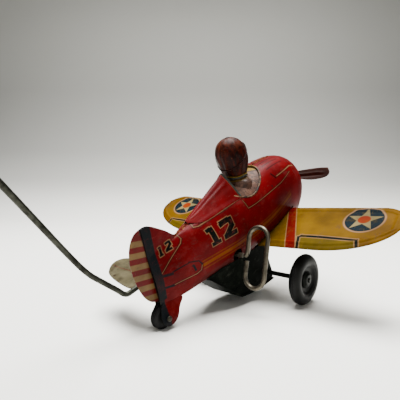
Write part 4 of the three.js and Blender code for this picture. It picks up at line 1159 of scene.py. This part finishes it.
class MakeRudder(bpy.types.Operator):
    """Cuts the striped rudder, with its rounded rim"""

    bl_idname = "tin_aeroplane.rudder"
    bl_label = "Rudder"

    def execute(self, context):
        rear = [
            (5.6, 45.6), (3.5, 46.2), (1.2, 46.0), (-0.8, 45.1), (-2.8, 43.2), (-4.5, 40.5), (-5.7,
             37.2),
            (-6.4, 33.4), (-6.5, 29.5), (-6.1, 25.2), (-5.6, 22.2), (-4.9, 19.5), (-3.7, 16.9), (-2.0,
             14.7),
            (0.2, 13.4), (2.2, 13.2), (5.6, 14.0),
        ]
        outline = [(p.x, p.y) for p in rounded([(a, n, 0) for a, n in rear], 4)]
        rudder = slab("rudder_blade", outline, -0.25, 0.25, edge=0.12)
        dress(rudder, rudder_litho(inks_of(context)), "airframe", "rudder_tin", "rudder")
        return {"FINISHED"}


def wing_edges(x):
    """How far behind the leading edge's line the wing starts and ends."""
    near_tip = max(0.0, abs(x) - 65) / (WING_SPAN - 65)
    front = 11.5 * (1 - math.sqrt(max(0.0, 1 - near_tip**2)))
    out = max(0.0, abs(x) - 40) / (WING_SPAN - 40)
    rear = WING_CHORD - (WING_CHORD - 11.5) * (1 - math.sqrt(max(0.0, 1 - out**2.1)))
    return front, rear


def wing_point(u, v):
    """The pressed wing sheet: u from port to starboard, v from leading to trailing edge."""
    spread = math.sin((u - 0.5) * math.pi)
    x = (0.45 * spread + 0.55 * (u - 0.5) * 2) * (WING_SPAN - 0.35)
    front, rear = wing_edges(x)
    c = front + (rear - front) * v
    edge = min(c - front, rear - c, WING_SPAN - abs(x))
    bead = 0.5 * math.exp(-(((edge - 3.2) / 0.8) ** 2)) if abs(x) > 14 else 0.0
    rolled = -0.35 * max(0.0, 1 - edge / 0.9)
    swell = math.sin(math.pi * min(1.0, c / WING_CHORD)) * min(1.0, max(0.0, (abs(x) - 8) / 20)) * 0.66
    groove = 0.0
    if 30 < abs(x) < 60:
        groove = -0.16 * math.exp(-(((c - 24.3) / 0.5) ** 2))
    a = WING_EDGE[0] - c * math.cos(0.243)
    n = WING_EDGE[1] + (a - WING_EDGE[0]) * WING_SLOPE + WING_RISE * abs(x)
    return (x, a, n + bead + swell + rolled + groove)


class MakeWing(bpy.types.Operator):
    """Presses the one-piece wing, with its bead, rolled edges and aileron grooves"""

    bl_idname = "tin_aeroplane.wing"
    bl_label = "Wing"

    def execute(self, context):
        wing = thick_sheet("wing_sheet", wing_point, 150, 64, 0.5)
        soften(wing, 0.12)
        dress(wing, yellow_litho(inks_of(context)), "airframe", "yellow_tin", "wing")
        return {"FINISHED"}


class MakeTailplane(bpy.types.Operator):
    """Cuts the port tailplane half"""

    bl_idname = "tin_aeroplane.tailplane"
    bl_label = "Tailplane"

    def execute(self, context):
        tip = rounded([
            (-1.3, -2.2, 0), (-5.0, -2.8, 0), (-10.8, -4.2, 0), (-21.9, -2.6, 0), (-30.4, -0.2, 0),
            (-34.1, 2.1, 0), (-37.4, 5.6, 0), (-38.9, 9.3, 0), (-37.6, 12.6, 0), (-33.6, 14.5, 0),
            (-26.0, 14.75, 0), (-6.2, 15.2, 0),
        ], 5)
        outline = [(p.x, p.y) for p in tip] + [(-5.0, 11.0), (-3.8, 6.5), (-3.1, 3.0), (-2.9, 0.6),
            (-1.3, -0.2)]
        plane = slab("tailplane_sheet", outline, 20.3, 20.8, plane="top", edge=0.12)
        dress(plane, tailplane_litho(inks_of(context)), "airframe", "cream_tin", "tailplane_port")
        return {"FINISHED"}


class MakeWheels(bpy.types.Operator):
    """Moulds the two tyres and turns their caps and the axle"""

    bl_idname = "tin_aeroplane.wheels"
    bl_label = "Main wheels and axle"

    def execute(self, context):
        inks = inks_of(context)
        tyre_finish = rubber("tyre_rubber", inks.tyre, inks.tyre_dust)
        cap_finish = enamel("cap_black", inks.housing, inks.housing_rubbed, inks.bare_tin_and_inner_shade, 0.3, shift=4)
        for name, side in (("starboard", 1), ("port", -1)):
            half = [
                (-1.8, 1.75), (-1.8, 6.4), (-2.35, 6.9), (-2.75, 7.5), (-3.0, 8.5), (-3.0, 9.6), (-2.8,
                 10.6), (-2.45, 11.5),
                (-1.9, 12.3), (-1.2, 12.8), (-0.75, 12.95), (-0.6, 12.7), (-0.45, 12.95), (0.0,
                 13.1), (0.45, 12.95),
                (0.6, 12.7), (0.75, 12.95), (1.2, 12.8), (1.9, 12.3), (2.45, 11.5), (2.8, 10.6), (3.0,
                 9.6), (3.0, 8.6),
                (2.85, 8.2), (2.6, 8.0), (2.55, 7.6), (2.3, 7.2), (1.7, 6.7), (1.35, 6.0), (1.1,
                 5.0), (1.0, 4.2), (1.0, 1.75),
                (-1.8, 1.75),
            ]
            tyre = turned(f"tyre_{name}", [(side * x, r) for x, r in half], (side * 30.6, *AXLE), "x",
                96, sharp=50)
            dress(tyre, tyre_finish, "drive_wheels", "black_rubber", f"wheel_{name}")
            hub = [(1.3, 1.4), (1.3, 4.3), (1.55, 4.35), (1.8, 4.1), (2.0, 3.6), (2.35, 3.2),
                (2.6, 2.6),
                   (2.75, 2.0), (2.7, 1.4), (1.3, 1.4)]
            cap = turned(f"wheel_cap_dome_{name}", [(side * x, r) for x, r in hub],
                (side * 30.6, *AXLE), "x", 48)
            dress(cap, cap_finish, "drive_wheels", "black_steel", f"wheel_cap_{name}")
        ends = [(-33.9, 0), (-33.8, 0.7), (-33.5, 1.1), (-33.2, 1.25), (33.2, 1.25), (33.5, 1.1),
            (33.8, 0.7), (33.9, 0)]
        axle = turned("axle_rod", ends, (0, *AXLE), "x", 32)
        dress(axle, cap_finish, "drive_wheels", "black_steel", "front_axle")
        return {"FINISHED"}


class MakeTailRoller(bpy.types.Operator):
    """Turns the grooved tail wheel and its riveted pin"""

    bl_idname = "tin_aeroplane.tail_roller"
    bl_label = "Tail wheel"

    def execute(self, context):
        inks = inks_of(context)
        profile = [
            (-1.9, 0.8), (-1.9, 3.6), (-1.85, 4.3), (-1.65, 4.9), (-1.35, 5.3), (-1.0, 5.5), (-0.65,
             5.3), (-0.35, 4.9),
            (0, 4.45), (0.35, 4.9), (0.65, 5.3), (1.0, 5.5), (1.35, 5.3), (1.65, 4.9), (1.85,
             4.3), (1.9, 3.6), (1.9, 0.8), (-1.9, 0.8),
        ]
        roller = turned("tail_roller_tyre", profile, (0, *TAIL_AXLE), "x", 64, sharp=50)
        dress(roller, rubber("roller_rubber", inks.tyre, inks.tyre_dust, 9.0), "tail_roller",
            "black_rubber", "tail_wheel")
        rivet = [
            (-5.6, 0), (-5.52, 0.7), (-5.3, 1.1), (-5.0, 1.25), (-4.78, 1.25), (-4.75, 0.5), (4.75,
             0.5), (4.78, 1.25),
            (5.0, 1.25), (5.3, 1.1), (5.52, 0.7), (5.6, 0),
        ]
        pin = turned("tail_roller_rivet", rivet, (0, *TAIL_AXLE), "x", 28)
        finish = bare_metal("rivet_steel", inks.steel_dull, inks.arm_dull, 0.4, shift=5)
        dress(pin, finish, "airframe", "pin_steel", "tail_wheel_pin")
        return {"FINISHED"}


class MakeHousing(bpy.types.Operator):
    """Finishes the motor housing, with its folded rim, tabs and rivets"""

    bl_idname = "tin_aeroplane.housing"
    bl_label = "Motor housing"

    def execute(self, context):
        inks = inks_of(context)
        finish = enamel("housing_enamel", inks.housing, inks.housing_rubbed, inks.arm_steel, 0.42,
                        chips=0.70, specular=0.006, rub=0.55, scratch=0.5, shift=12)
        shell = copy_of("motor_housing", "motor_housing_shell")
        soften(shell, 0.35, segments=3, angle=30)
        dress(shell, finish, "airframe", "black_steel", "motor_housing")
        radius = context.scene.tin_aeroplane_sizes.rivet / MM
        dome = [(0, radius), (0.2, radius * 0.92), (0.38, radius * 0.6), (0.45, 0)]
        for side in (1, -1):
            for k, (a, n, x) in enumerate([(42.0, -4.6, 9.0), (57.0, -9.6, 9.4), (67.5, -12.6, 9.4),
                (50.5, 3.4, 9.4)]):
                label = "starboard" if side > 0 else "port"
                head = turned(f"housing_rivet_{label}_{k + 1}", [(side * d, r) for d, r in dome],
                              (side * (x - 0.35), a, n), "x", 16)
                dress(head, finish, "airframe", "black_steel")
        return {"FINISHED"}


class MakeClockwork(bpy.types.Operator):
    """Gives the clockwork's gears, arbors, spring and plates their metals"""

    bl_idname = "tin_aeroplane.clockwork"
    bl_label = "Clockwork"

    def execute(self, context):
        inks = inks_of(context)
        brass = bare_metal("gear_brass_cut", inks.brass, inks.brass_dull, 0.28, shift=1)
        plate = bare_metal("plate_steel_rolled", inks.steel, inks.steel_dull, 0.3, shift=2)
        blued = bare_metal("spring_blued", inks.arm_steel, inks.arm_dull, 0.25, shift=3)
        metals = {
            brass: ("ratchet_wheel", "pawl", "great_gear", "intermediate_arbor", "idler_gear",
                "axle_gear", "crown_gear"),
            plate: ("motor_plate_starboard", "motor_plate_port", "motor_pillar_top",
                "motor_pillar_bottom",
                    "motor_pillar_rear", "winding_arbor", "shaft_bearing_front", "shaft_bearing_tail"),
            blued: ("mainspring",),
        }
        for metal, nodes in metals.items():
            for node in nodes:
                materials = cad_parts[node].data.materials
                materials.clear()
                materials.append(metal)
        return {"FINISHED"}


class MakeArm(bpy.types.Operator):
    """Bends the roll-over arm out of dark wire, with its pinion"""

    bl_idname = "tin_aeroplane.arm"
    bl_label = "Roll-over arm"

    def execute(self, context):
        inks = inks_of(context)
        bends = rounded([
            (-2.2, -9.0, 23.3), (-2.5, -10.2, 23.4), (-3.1, -11.4, 24.3), (-3.9, -12.7, 26.5), (-5.6,
             -17.5, 33.6),
            (-6.3, -20.2, 37.8), (-6.0, -23.0, 43.6), (-3.9, -27.7, 54.5), (1.0, -36.3, 74.6), (8.5,
             -45.5, 94.1),
        ], 6)
        path = [(-2.2, 47.3, 23.3), (-2.2, 20.0, 23.3)] + bends
        arm = tube("arm_wire", path, 1.1, sides=20)
        finish = bare_metal("arm_wire_steel", inks.arm_steel, inks.arm_dull, 0.38, grain=(1, 3, 3),
            shift=7, stain=0.9)
        dress(arm, finish, "arm", "arm_steel", "roll_over_arm")
        points, faces = [], []
        count = 32
        for along in (46.4, 48.2):
            for k in range(count):
                t = k * math.tau / count
                r = 2.75 if k % 4 in (0, 1) else 1.75
                points.append((-2.2 + r * math.cos(t), along, 23.3 + r * math.sin(t)))
        faces = [tuple(range(count)), tuple(range(count, 2 * count))[::-1]]
        faces += [(k, (k + 1) % count, count + (k + 1) % count, count + k) for k in range(count)]
        pinion = piece_from("arm_pinion", points, faces, 20)
        dress(pinion, finish, "arm", "arm_steel")
        return {"FINISHED"}


class MakeKey(bpy.types.Operator):
    """Bends the winding key's wire loop"""

    bl_idname = "tin_aeroplane.key"
    bl_label = "Winding key"

    def execute(self, context):
        inks = inks_of(context)
        inner, outer, half, tilt = 16.0, 26.6, 14.3, 0.515
        bend = (outer - inner) / 2
        straight = half - bend
        flat = [(inner - 1.0, 0.0), (inner - 0.6, 0.3), (inner - 0.1, 1.2), (inner, 2.4)]
        for centre, start in ((straight, math.pi), (-straight, 0.0)):
            for k in range(25):
                t = start - math.pi * k / 24
                flat.append((inner + bend + bend * math.cos(t), centre + bend * math.sin(t)))
        flat.append((inner, -2.2))
        c, s = math.cos(-tilt), math.sin(-tilt)
        path = [(x, ARBOR[0] - z * s, ARBOR[1] + z * c) for x, z in flat]
        wire = tube("key_wire", path, 1.1, sides=20)
        finish = bare_metal("key_wire_steel", inks.steel, inks.steel_dull, 0.3, grain=(1, 2, 2),
            shift=4, stain=0.8)
        dress(wire, finish, "winder", "key_steel", "winding_key")
        return {"FINISHED"}


class MakePilot(bpy.types.Operator):
    """Presses the pilot: helmeted head with a plain face, goggles, scarf and jacket"""

    bl_idname = "tin_aeroplane.pilot"
    bl_label = "Pilot"

    HEAD = [
        (45.0, 5.4, 5.2, 0.0), (46.2, 6.2, 6.2, 0.1), (47.6, 6.7, 6.9, 0.2), (49.2, 7.1, 7.5,
         0.2), (51.6, 7.6, 8.1, 0.2),
        (54.2, 8.0, 8.5, 0), (57.0, 8.0, 8.5, -0.2), (59.6, 7.5, 8.0, -0.3), (61.4, 6.7, 7.2, -0.35),
        (63.0, 5.5, 6.0, -0.4), (64.2, 4.0, 4.4, -0.4), (65.0, 2.4, 2.7, -0.4), (65.4, 0.7, 0.8, -0.4),
    ]

    def head_point(self, n, t):
        """A point of the head at a height and an angle round it, t = 0 towards the nose."""
        half, depth, shift = eased(self.HEAD, n)
        x, ahead = half * math.sin(t), depth * math.cos(t)
        if ahead > 0:
            oval = math.hypot(x / 5.4, (n - 53.2) / 6.6)
            face = 1 / (1 + math.exp((oval - 1.0) * 14))
            brow = 0.5 * math.exp(-(((n - 56.4) / 0.8) ** 2)) * math.exp(-((x / 3.6) ** 4))
            socket = -0.75 * math.exp(-(((abs(x) - 2.55) / 1.2) ** 2) - (((n - 54.6) / 0.95) ** 2))
            ridge = min(1.0, max(0.0, (56.2 - n) / 4.4))
            nose = 1.75 * ridge * math.exp(-((x / (0.6 + 0.55 * ridge)) ** 2)) if 51.6 < n < 56.2 else 0.0
            under = 1.75 * math.exp(-(((51.6 - n) / 0.35) ** 2)) * math.exp(-((x / 1.1) ** 2)) if n <= 51.6 else 0.0
            cheek = 0.4 * math.exp(-(((abs(x) - 3.3) / 1.2) ** 2) - (((n - 52.0) / 1.4) ** 2))
            lips = 0.42 * math.exp(-((x / 1.9) ** 4)) * (
                math.exp(-(((n - 50.5) / 0.42) ** 2)) + math.exp(-(((n - 49.55) / 0.45) ** 2))
            )
            chin = 0.75 * math.exp(-(((n - 48.0) / 0.9) ** 2) - ((x / 1.7) ** 2))
            ahead += face * (brow + socket + nose + under + cheek + lips + chin - 0.35)
            ahead += 0.45 * math.exp(-(((oval - 1.06) / 0.08) ** 2))
        seam = -0.22 * math.exp(-((x / 0.35) ** 2)) if ahead < 4.0 or n > 59.5 else 0.0
        length = math.hypot(x, ahead) or 1.0
        fold = 0.13 * math.sin(t * 11 + 1.6 * math.sin(n * 0.5)) * min(1.0, max(0.0, (3 - ahead) / 3))
        scale = 1 + (seam + fold) / length
        return (x * scale, 70.2 + shift + ahead * scale, n)

    def execute(self, context):
        inks = inks_of(context)
        rows, around = 76, 96
        points, faces = [], []
        for r in range(rows + 1):
            share = r / rows
            n = 45.0 + 20.4 * (share + 0.06 * math.sin(math.pi * 2 * share) * 0.5)
            for k in range(around):
                points.append(self.head_point(n, k * math.tau / around))
        for r in range(rows):
            for k in range(around):
                m = (k + 1) % around
                faces.append((r * around + k, r * around + m, (r + 1) * around + m,
                    (r + 1) * around + k))
        faces.append(tuple(range(around))[::-1])
        faces.append(tuple(rows * around + k for k in range(around)))
        head = piece_from("pilot_head_pressing", points, faces, 60)
        dress(head, pilot_litho(inks), "airframe", "pilot_tin", "pilot_head")

        strap_finish = enamel("goggle_leather", inks.leather_dark, inks.leather, inks.leather_light,
            0.45, shift=18)
        strap = []
        for k in range(72):
            t = k * math.tau / 72
            n = 59.0 - 9.0 * (1 - math.cos(t)) / 2
            x, a, _ = self.head_point(n, t)
            strap.append((x * 1.01, 70.2 + (a - 70.2) * 1.01, n))
        band = tube("goggle_strap", strap, 0.34, closed=True, sides=10)
        dress(band, strap_finish, "airframe", "pilot_tin")
        for label, side in (("starboard", 1), ("port", -1)):
            rim = []
            for k in range(28):
                t = k * math.tau / 28
                x = side * 2.9 + 2.1 * math.cos(t)
                n = 59.0 + 1.55 * math.sin(t)
                half, depth, shift = eased(self.HEAD, n)
                a = 70.2 + shift + depth * math.sqrt(max(0.05, 1 - (x / half) ** 2)) + 0.35
                rim.append((x, a, n))
            frame_ring = tube(f"goggle_rim_{label}", rim, 0.32, closed=True, sides=10)
            dress(frame_ring, strap_finish, "airframe", "pilot_tin")

        torso_rows = [
            (33.0, 9.0, 7.0), (34.5, 9.25, 7.2), (36.0, 9.3, 7.2), (38.0, 9.3, 7.15), (39.5, 9.2,
             7.0), (41.0, 8.8, 6.6),
            (42.0, 8.3, 6.2), (42.8, 7.6, 5.8), (43.4, 6.9, 5.4), (43.9, 6.3, 5.1), (44.3, 5.6,
             4.8), (44.6, 4.4, 3.8),
        ]
        points, faces = [], []
        around = 64
        for n, half, depth in torso_rows:
            for k in range(around):
                t = k * math.tau / around
                crease = 0.14 * math.sin(n * 2.3 + 3 * math.sin(t * 2)) + 0.1 * math.sin(t * 9 + n)
                points.append(((half + crease) * math.cos(t), 69.4 + (depth + crease) * math.sin(t), n))
        for r in range(len(torso_rows) - 1):
            for k in range(around):
                m = (k + 1) % around
                faces.append((r * around + k, r * around + m, (r + 1) * around + m,
                    (r + 1) * around + k))
        faces.append(tuple(range(around))[::-1])
        faces.append(tuple((len(torso_rows) - 1) * around + k for k in range(around)))
        torso = piece_from("pilot_jacket", points, faces, 60)
        dress(torso, jacket_litho(inks), "airframe", "scarf_tin", "pilot_torso")

        loop = []
        for k in range(64):
            t = k * math.tau / 64
            wave = 0.25 * math.sin(3 * t + 1)
            loop.append((6.3 * math.cos(t), 69.9 + 5.7 * math.sin(t),
                44.9 + wave - 0.5 * math.sin(t)))
        scarf = tube("pilot_scarf", loop, lambda share: 0.5 + 0.08 * math.sin(share * 40), closed=True,
            sides=14)
        finish = enamel("scarf_grey", inks.scarf, inks.tail_rubbed, inks.gap_shade_and_chip_black, 0.5, 0.68, rub=0.5,
            shift=25)
        dress(scarf, finish, "airframe", "scarf_tin")
        edge = [(p[0], p[1], p[2] + 0.75) for p in loop]
        collar = tube("collar_line", edge, 0.3, closed=True, sides=10)
        ochre = enamel("collar_ochre", inks.yellow_rubbed, inks.cream_line, inks.gap_shade_and_chip_black, 0.4, 0.66,
            shift=27)
        dress(collar, ochre, "airframe", "yellow_tin")
        dome = [(0, 1.5), (0.35, 1.45), (0.7, 1.1), (0.9, 0.6), (0.95, 0)]
        button = piece_from("helmet_button", [
            (0.3 + r * math.cos(k * math.tau / 20), 69.8 + r * math.sin(k * math.tau / 20), 64.75 + h)
            for h, r in dome for k in range(20)
        ], [(m * 20 + k, m * 20 + (k + 1) % 20, m * 20 + 20 + (k + 1) % 20, m * 20 + 20 + k)
            for m in range(len(dome) - 1) for k in range(20)] + [tuple(range(20))[::-1]])
        dress(button, strap_finish, "airframe", "pilot_tin")
        return {"FINISHED"}


class MakeAirscrew(bpy.types.Operator):
    """Presses the propeller with its ribs, and turns its pin"""

    bl_idname = "tin_aeroplane.airscrew"
    bl_label = "Propeller"

    @staticmethod
    def blade(share, row):
        """share runs from tip to tip, row from edge to edge of the blade."""
        s = (share - 0.5) * 2
        side, u = (-1 if s < 0 else 1), abs(s)
        v = row if side > 0 else 1 - row
        lead = 2.2 + 1.2 * u - 1.0 * u**6
        trail = 1.9 + 3.6 * math.sin(min(1.0, u * 1.7) * math.pi / 2)
        tip = math.sqrt(max(0.01, 1 - u**5))
        across = lead - v * (lead + trail * tip)
        twist = 0.45 * (1 - 0.35 * u)
        fade = min(1.0, max(0.0, (0.9 - u) / 0.15))
        rib = 0.7 * math.exp(-(((across + 0.4) / 0.8) ** 2)) * fade
        groove = -0.3 * math.exp(-(((across + 2.1) / 0.5) ** 2)) * fade * min(1.0, u * 3)
        rise = side * (-across * math.sin(twist)) + (rib + groove) * math.cos(twist)
        if u < 0.16:
            rise *= u / 0.16
        x, n = side * u * 27.0, side * across * math.cos(twist)
        c, t = math.cos(-0.1), math.sin(-0.1)
        return (x * c + n * t, 121.2 + rise, 26.4 - x * t + n * c)

    def execute(self, context):
        inks = inks_of(context)
        propeller = thick_sheet("propeller_blades", lambda u, v: self.blade(1 - u, v), 90, 26, 0.5)
        soften(propeller, 0.12)
        finish = enamel("propeller_enamel", inks.propeller, inks.propeller_rubbed, inks.arm_steel, 0.3,
                        chips=0.68, rub=0.5, shift=30)
        dress(propeller, finish, "airscrew", "propeller_tin", "propeller")
        profile = [
            (-5.4, 0), (-5.4, 2.2), (-4.1, 2.2), (-4.1, 0.6), (1.0, 0.6), (1.0, 2.4), (1.35,
             2.38), (1.7, 2.2),
            (2.1, 1.75), (2.4, 1.1), (2.6, 0),
        ]
        pin = turned("propeller_rivet", profile, (0, 121.2, 26.4), "a", 40)
        dress(pin, bare_metal("propeller_pin_steel", inks.steel_dull, inks.arm_dull, 0.35, shift=11),
              "airframe", "pin_steel", "propeller_pin")
        return {"FINISHED"}


class MakeStudio(bpy.types.Operator):
    """Sets the paper sweep, the soft lights and the camera"""

    bl_idname = "tin_aeroplane.studio"
    bl_label = "Studio"

    def execute(self, context):
        studio = context.scene.tin_aeroplane_studio
        eye = Vector((0.12074, -0.12296, 0.06713))
        ahead = Vector((-0.6790, 0.7308, -0.0698)).normalized()
        self.paper(studio, eye, ahead)
        camera_data = bpy.data.cameras.new("camera")
        camera_data.sensor_width = 36.0
        camera_data.lens = 36.0 * 376.56 / 400
        camera_data.clip_start, camera_data.clip_end = 0.005, 20.0
        camera = bpy.data.objects.new("camera", camera_data)
        bpy.context.scene.collection.objects.link(camera)
        camera.location = eye
        camera.rotation_mode = "QUATERNION"
        camera.rotation_quaternion = ahead.to_track_quat("-Z", "Y")
        context.scene.camera = camera
        self.softbox("overhead_light", (-0.07, 0.09, 0.70), (-0.05, 0.07, 0.0), 0.55, studio.key,
            (1.0, 0.99, 0.96))
        self.softbox("front_light", (0.55, -0.42, 0.45), (0, 0, 0.03), 0.5, studio.fill,
            (1.0, 0.98, 0.95))
        world = bpy.data.worlds.new("room")
        world.use_nodes = True
        shade = world.node_tree.nodes["Background"]
        shade.inputs["Color"].default_value = (0.93, 0.94, 0.92, 1)
        shade.inputs["Strength"].default_value = studio.room
        context.scene.world = world
        return {"FINISHED"}

    @staticmethod
    def softbox(name, place_at, aim, size, power, tint):
        light = bpy.data.lights.new(name, "AREA")
        light.shape = "SQUARE"
        light.size = size
        light.spread = math.radians(115)
        light.energy = power
        light.color = tint
        lamp = bpy.data.objects.new(name, light)
        lamp.location = place_at
        lamp.rotation_mode = "QUATERNION"
        lamp.rotation_quaternion = (Vector(aim) - Vector(place_at)).to_track_quat("-Z", "Y")
        bpy.context.scene.collection.objects.link(lamp)

    @staticmethod
    def paper(studio, eye, ahead):
        """A floor that sweeps up into a wall behind the aeroplane."""
        back = Vector((ahead.x, ahead.y, 0)).normalized()
        right = Vector((back.y, -back.x, 0))
        profile = [(-2.4, 0.0), (-0.6, 0.0), (0.2, 0.0), (0.36, 0.0)]
        reach, lift = 0.36, 0.27
        profile += [(reach + lift * math.sin(t * math.pi / 28),
            lift * (1 - math.cos(t * math.pi / 28))) for t in range(1, 15)]
        profile.append((reach + lift, 0.52))
        points, faces = [], []
        for depth, height in profile:
            for across in (-2.6, 2.6):
                points.append(back * depth + right * across + Vector((0, 0, height)))
        for k in range(len(profile) - 1):
            faces.append((2 * k, 2 * k + 1, 2 * k + 3, 2 * k + 2))
        mesh = bpy.data.meshes.new("paper_sweep")
        mesh.from_pydata(points, [], faces)
        mesh.shade_smooth()
        sweep = bpy.data.objects.new("paper_sweep", mesh)
        bpy.context.scene.collection.objects.link(sweep)
        f = Finish("paper", specular=0.2)
        tone = f.mix(f.noise(60, 3), tuple(c * 0.985 for c in studio.paper), tuple(studio.paper))
        height = f.a * math.sin(PITCH) + f.n * math.cos(PITCH)
        # Painted shade: the paper darkens as it rises into the wall, most at about 150 mm and a little less above.
        shade = f.over(height, -6.0, 62.0) * 0.8 + f.over(height, 40.0, 150.0) * 0.28 - f.over(height,
            150.0, 420.0) * 0.3
        tone = f.mix(shade, tone, tuple(c * 0.43 for c in studio.paper))
        mesh.materials.append(f.done(tone, 0.75, f.noise(0.6, 3), 0.05, 0.05))


class TinAeroplanePanel(bpy.types.Panel):
    """Lists the makers and their sizes and colours."""

    bl_idname = "VIEW3D_PT_tin_aeroplane"
    bl_label = "Tin Aeroplane"
    bl_space_type = "VIEW_3D"
    bl_region_type = "UI"
    bl_category = "Tin Aeroplane"

    def draw(self, context):
        layout = self.layout
        for maker in MAKERS:
            layout.operator(maker.bl_idname)
        for title, group in (
            ("Sizes", context.scene.tin_aeroplane_sizes),
            ("Studio", context.scene.tin_aeroplane_studio),
            ("Inks", context.scene.tin_aeroplane_inks),
        ):
            layout.label(text=title)
            for name in group.__annotations__:
                layout.prop(group, name)


MAKERS = (
    MakeStudio, MakeBodyHalves, MakeCockpitLip, MakeNose, MakeHeadrest, MakeRudder,
    MakeWing, MakeTailplane,
    MakeWheels, MakeTailRoller, MakeHousing, MakeClockwork, MakeArm, MakeKey, MakePilot, MakeAirscrew,
)
GROUPS = (TinAeroplaneInks, TinAeroplaneSizes, TinAeroplaneStudio)


def register():
    for thing in (*GROUPS, *MAKERS, TinAeroplanePanel):
        bpy.utils.register_class(thing)
    bpy.types.Scene.tin_aeroplane_inks = PointerProperty(type=TinAeroplaneInks)
    bpy.types.Scene.tin_aeroplane_sizes = PointerProperty(type=TinAeroplaneSizes)
    bpy.types.Scene.tin_aeroplane_studio = PointerProperty(type=TinAeroplaneStudio)


def unregister():
    for name in ("tin_aeroplane_inks", "tin_aeroplane_sizes", "tin_aeroplane_studio"):
        delattr(bpy.types.Scene, name)
    for thing in reversed((*GROUPS, *MAKERS, TinAeroplanePanel)):
        bpy.utils.unregister_class(thing)


def main():
    register()
    for maker in MAKERS:
        group, name = maker.bl_idname.split(".")
        getattr(getattr(bpy.ops, group), name)()


if __name__ == "__main__":
    main()
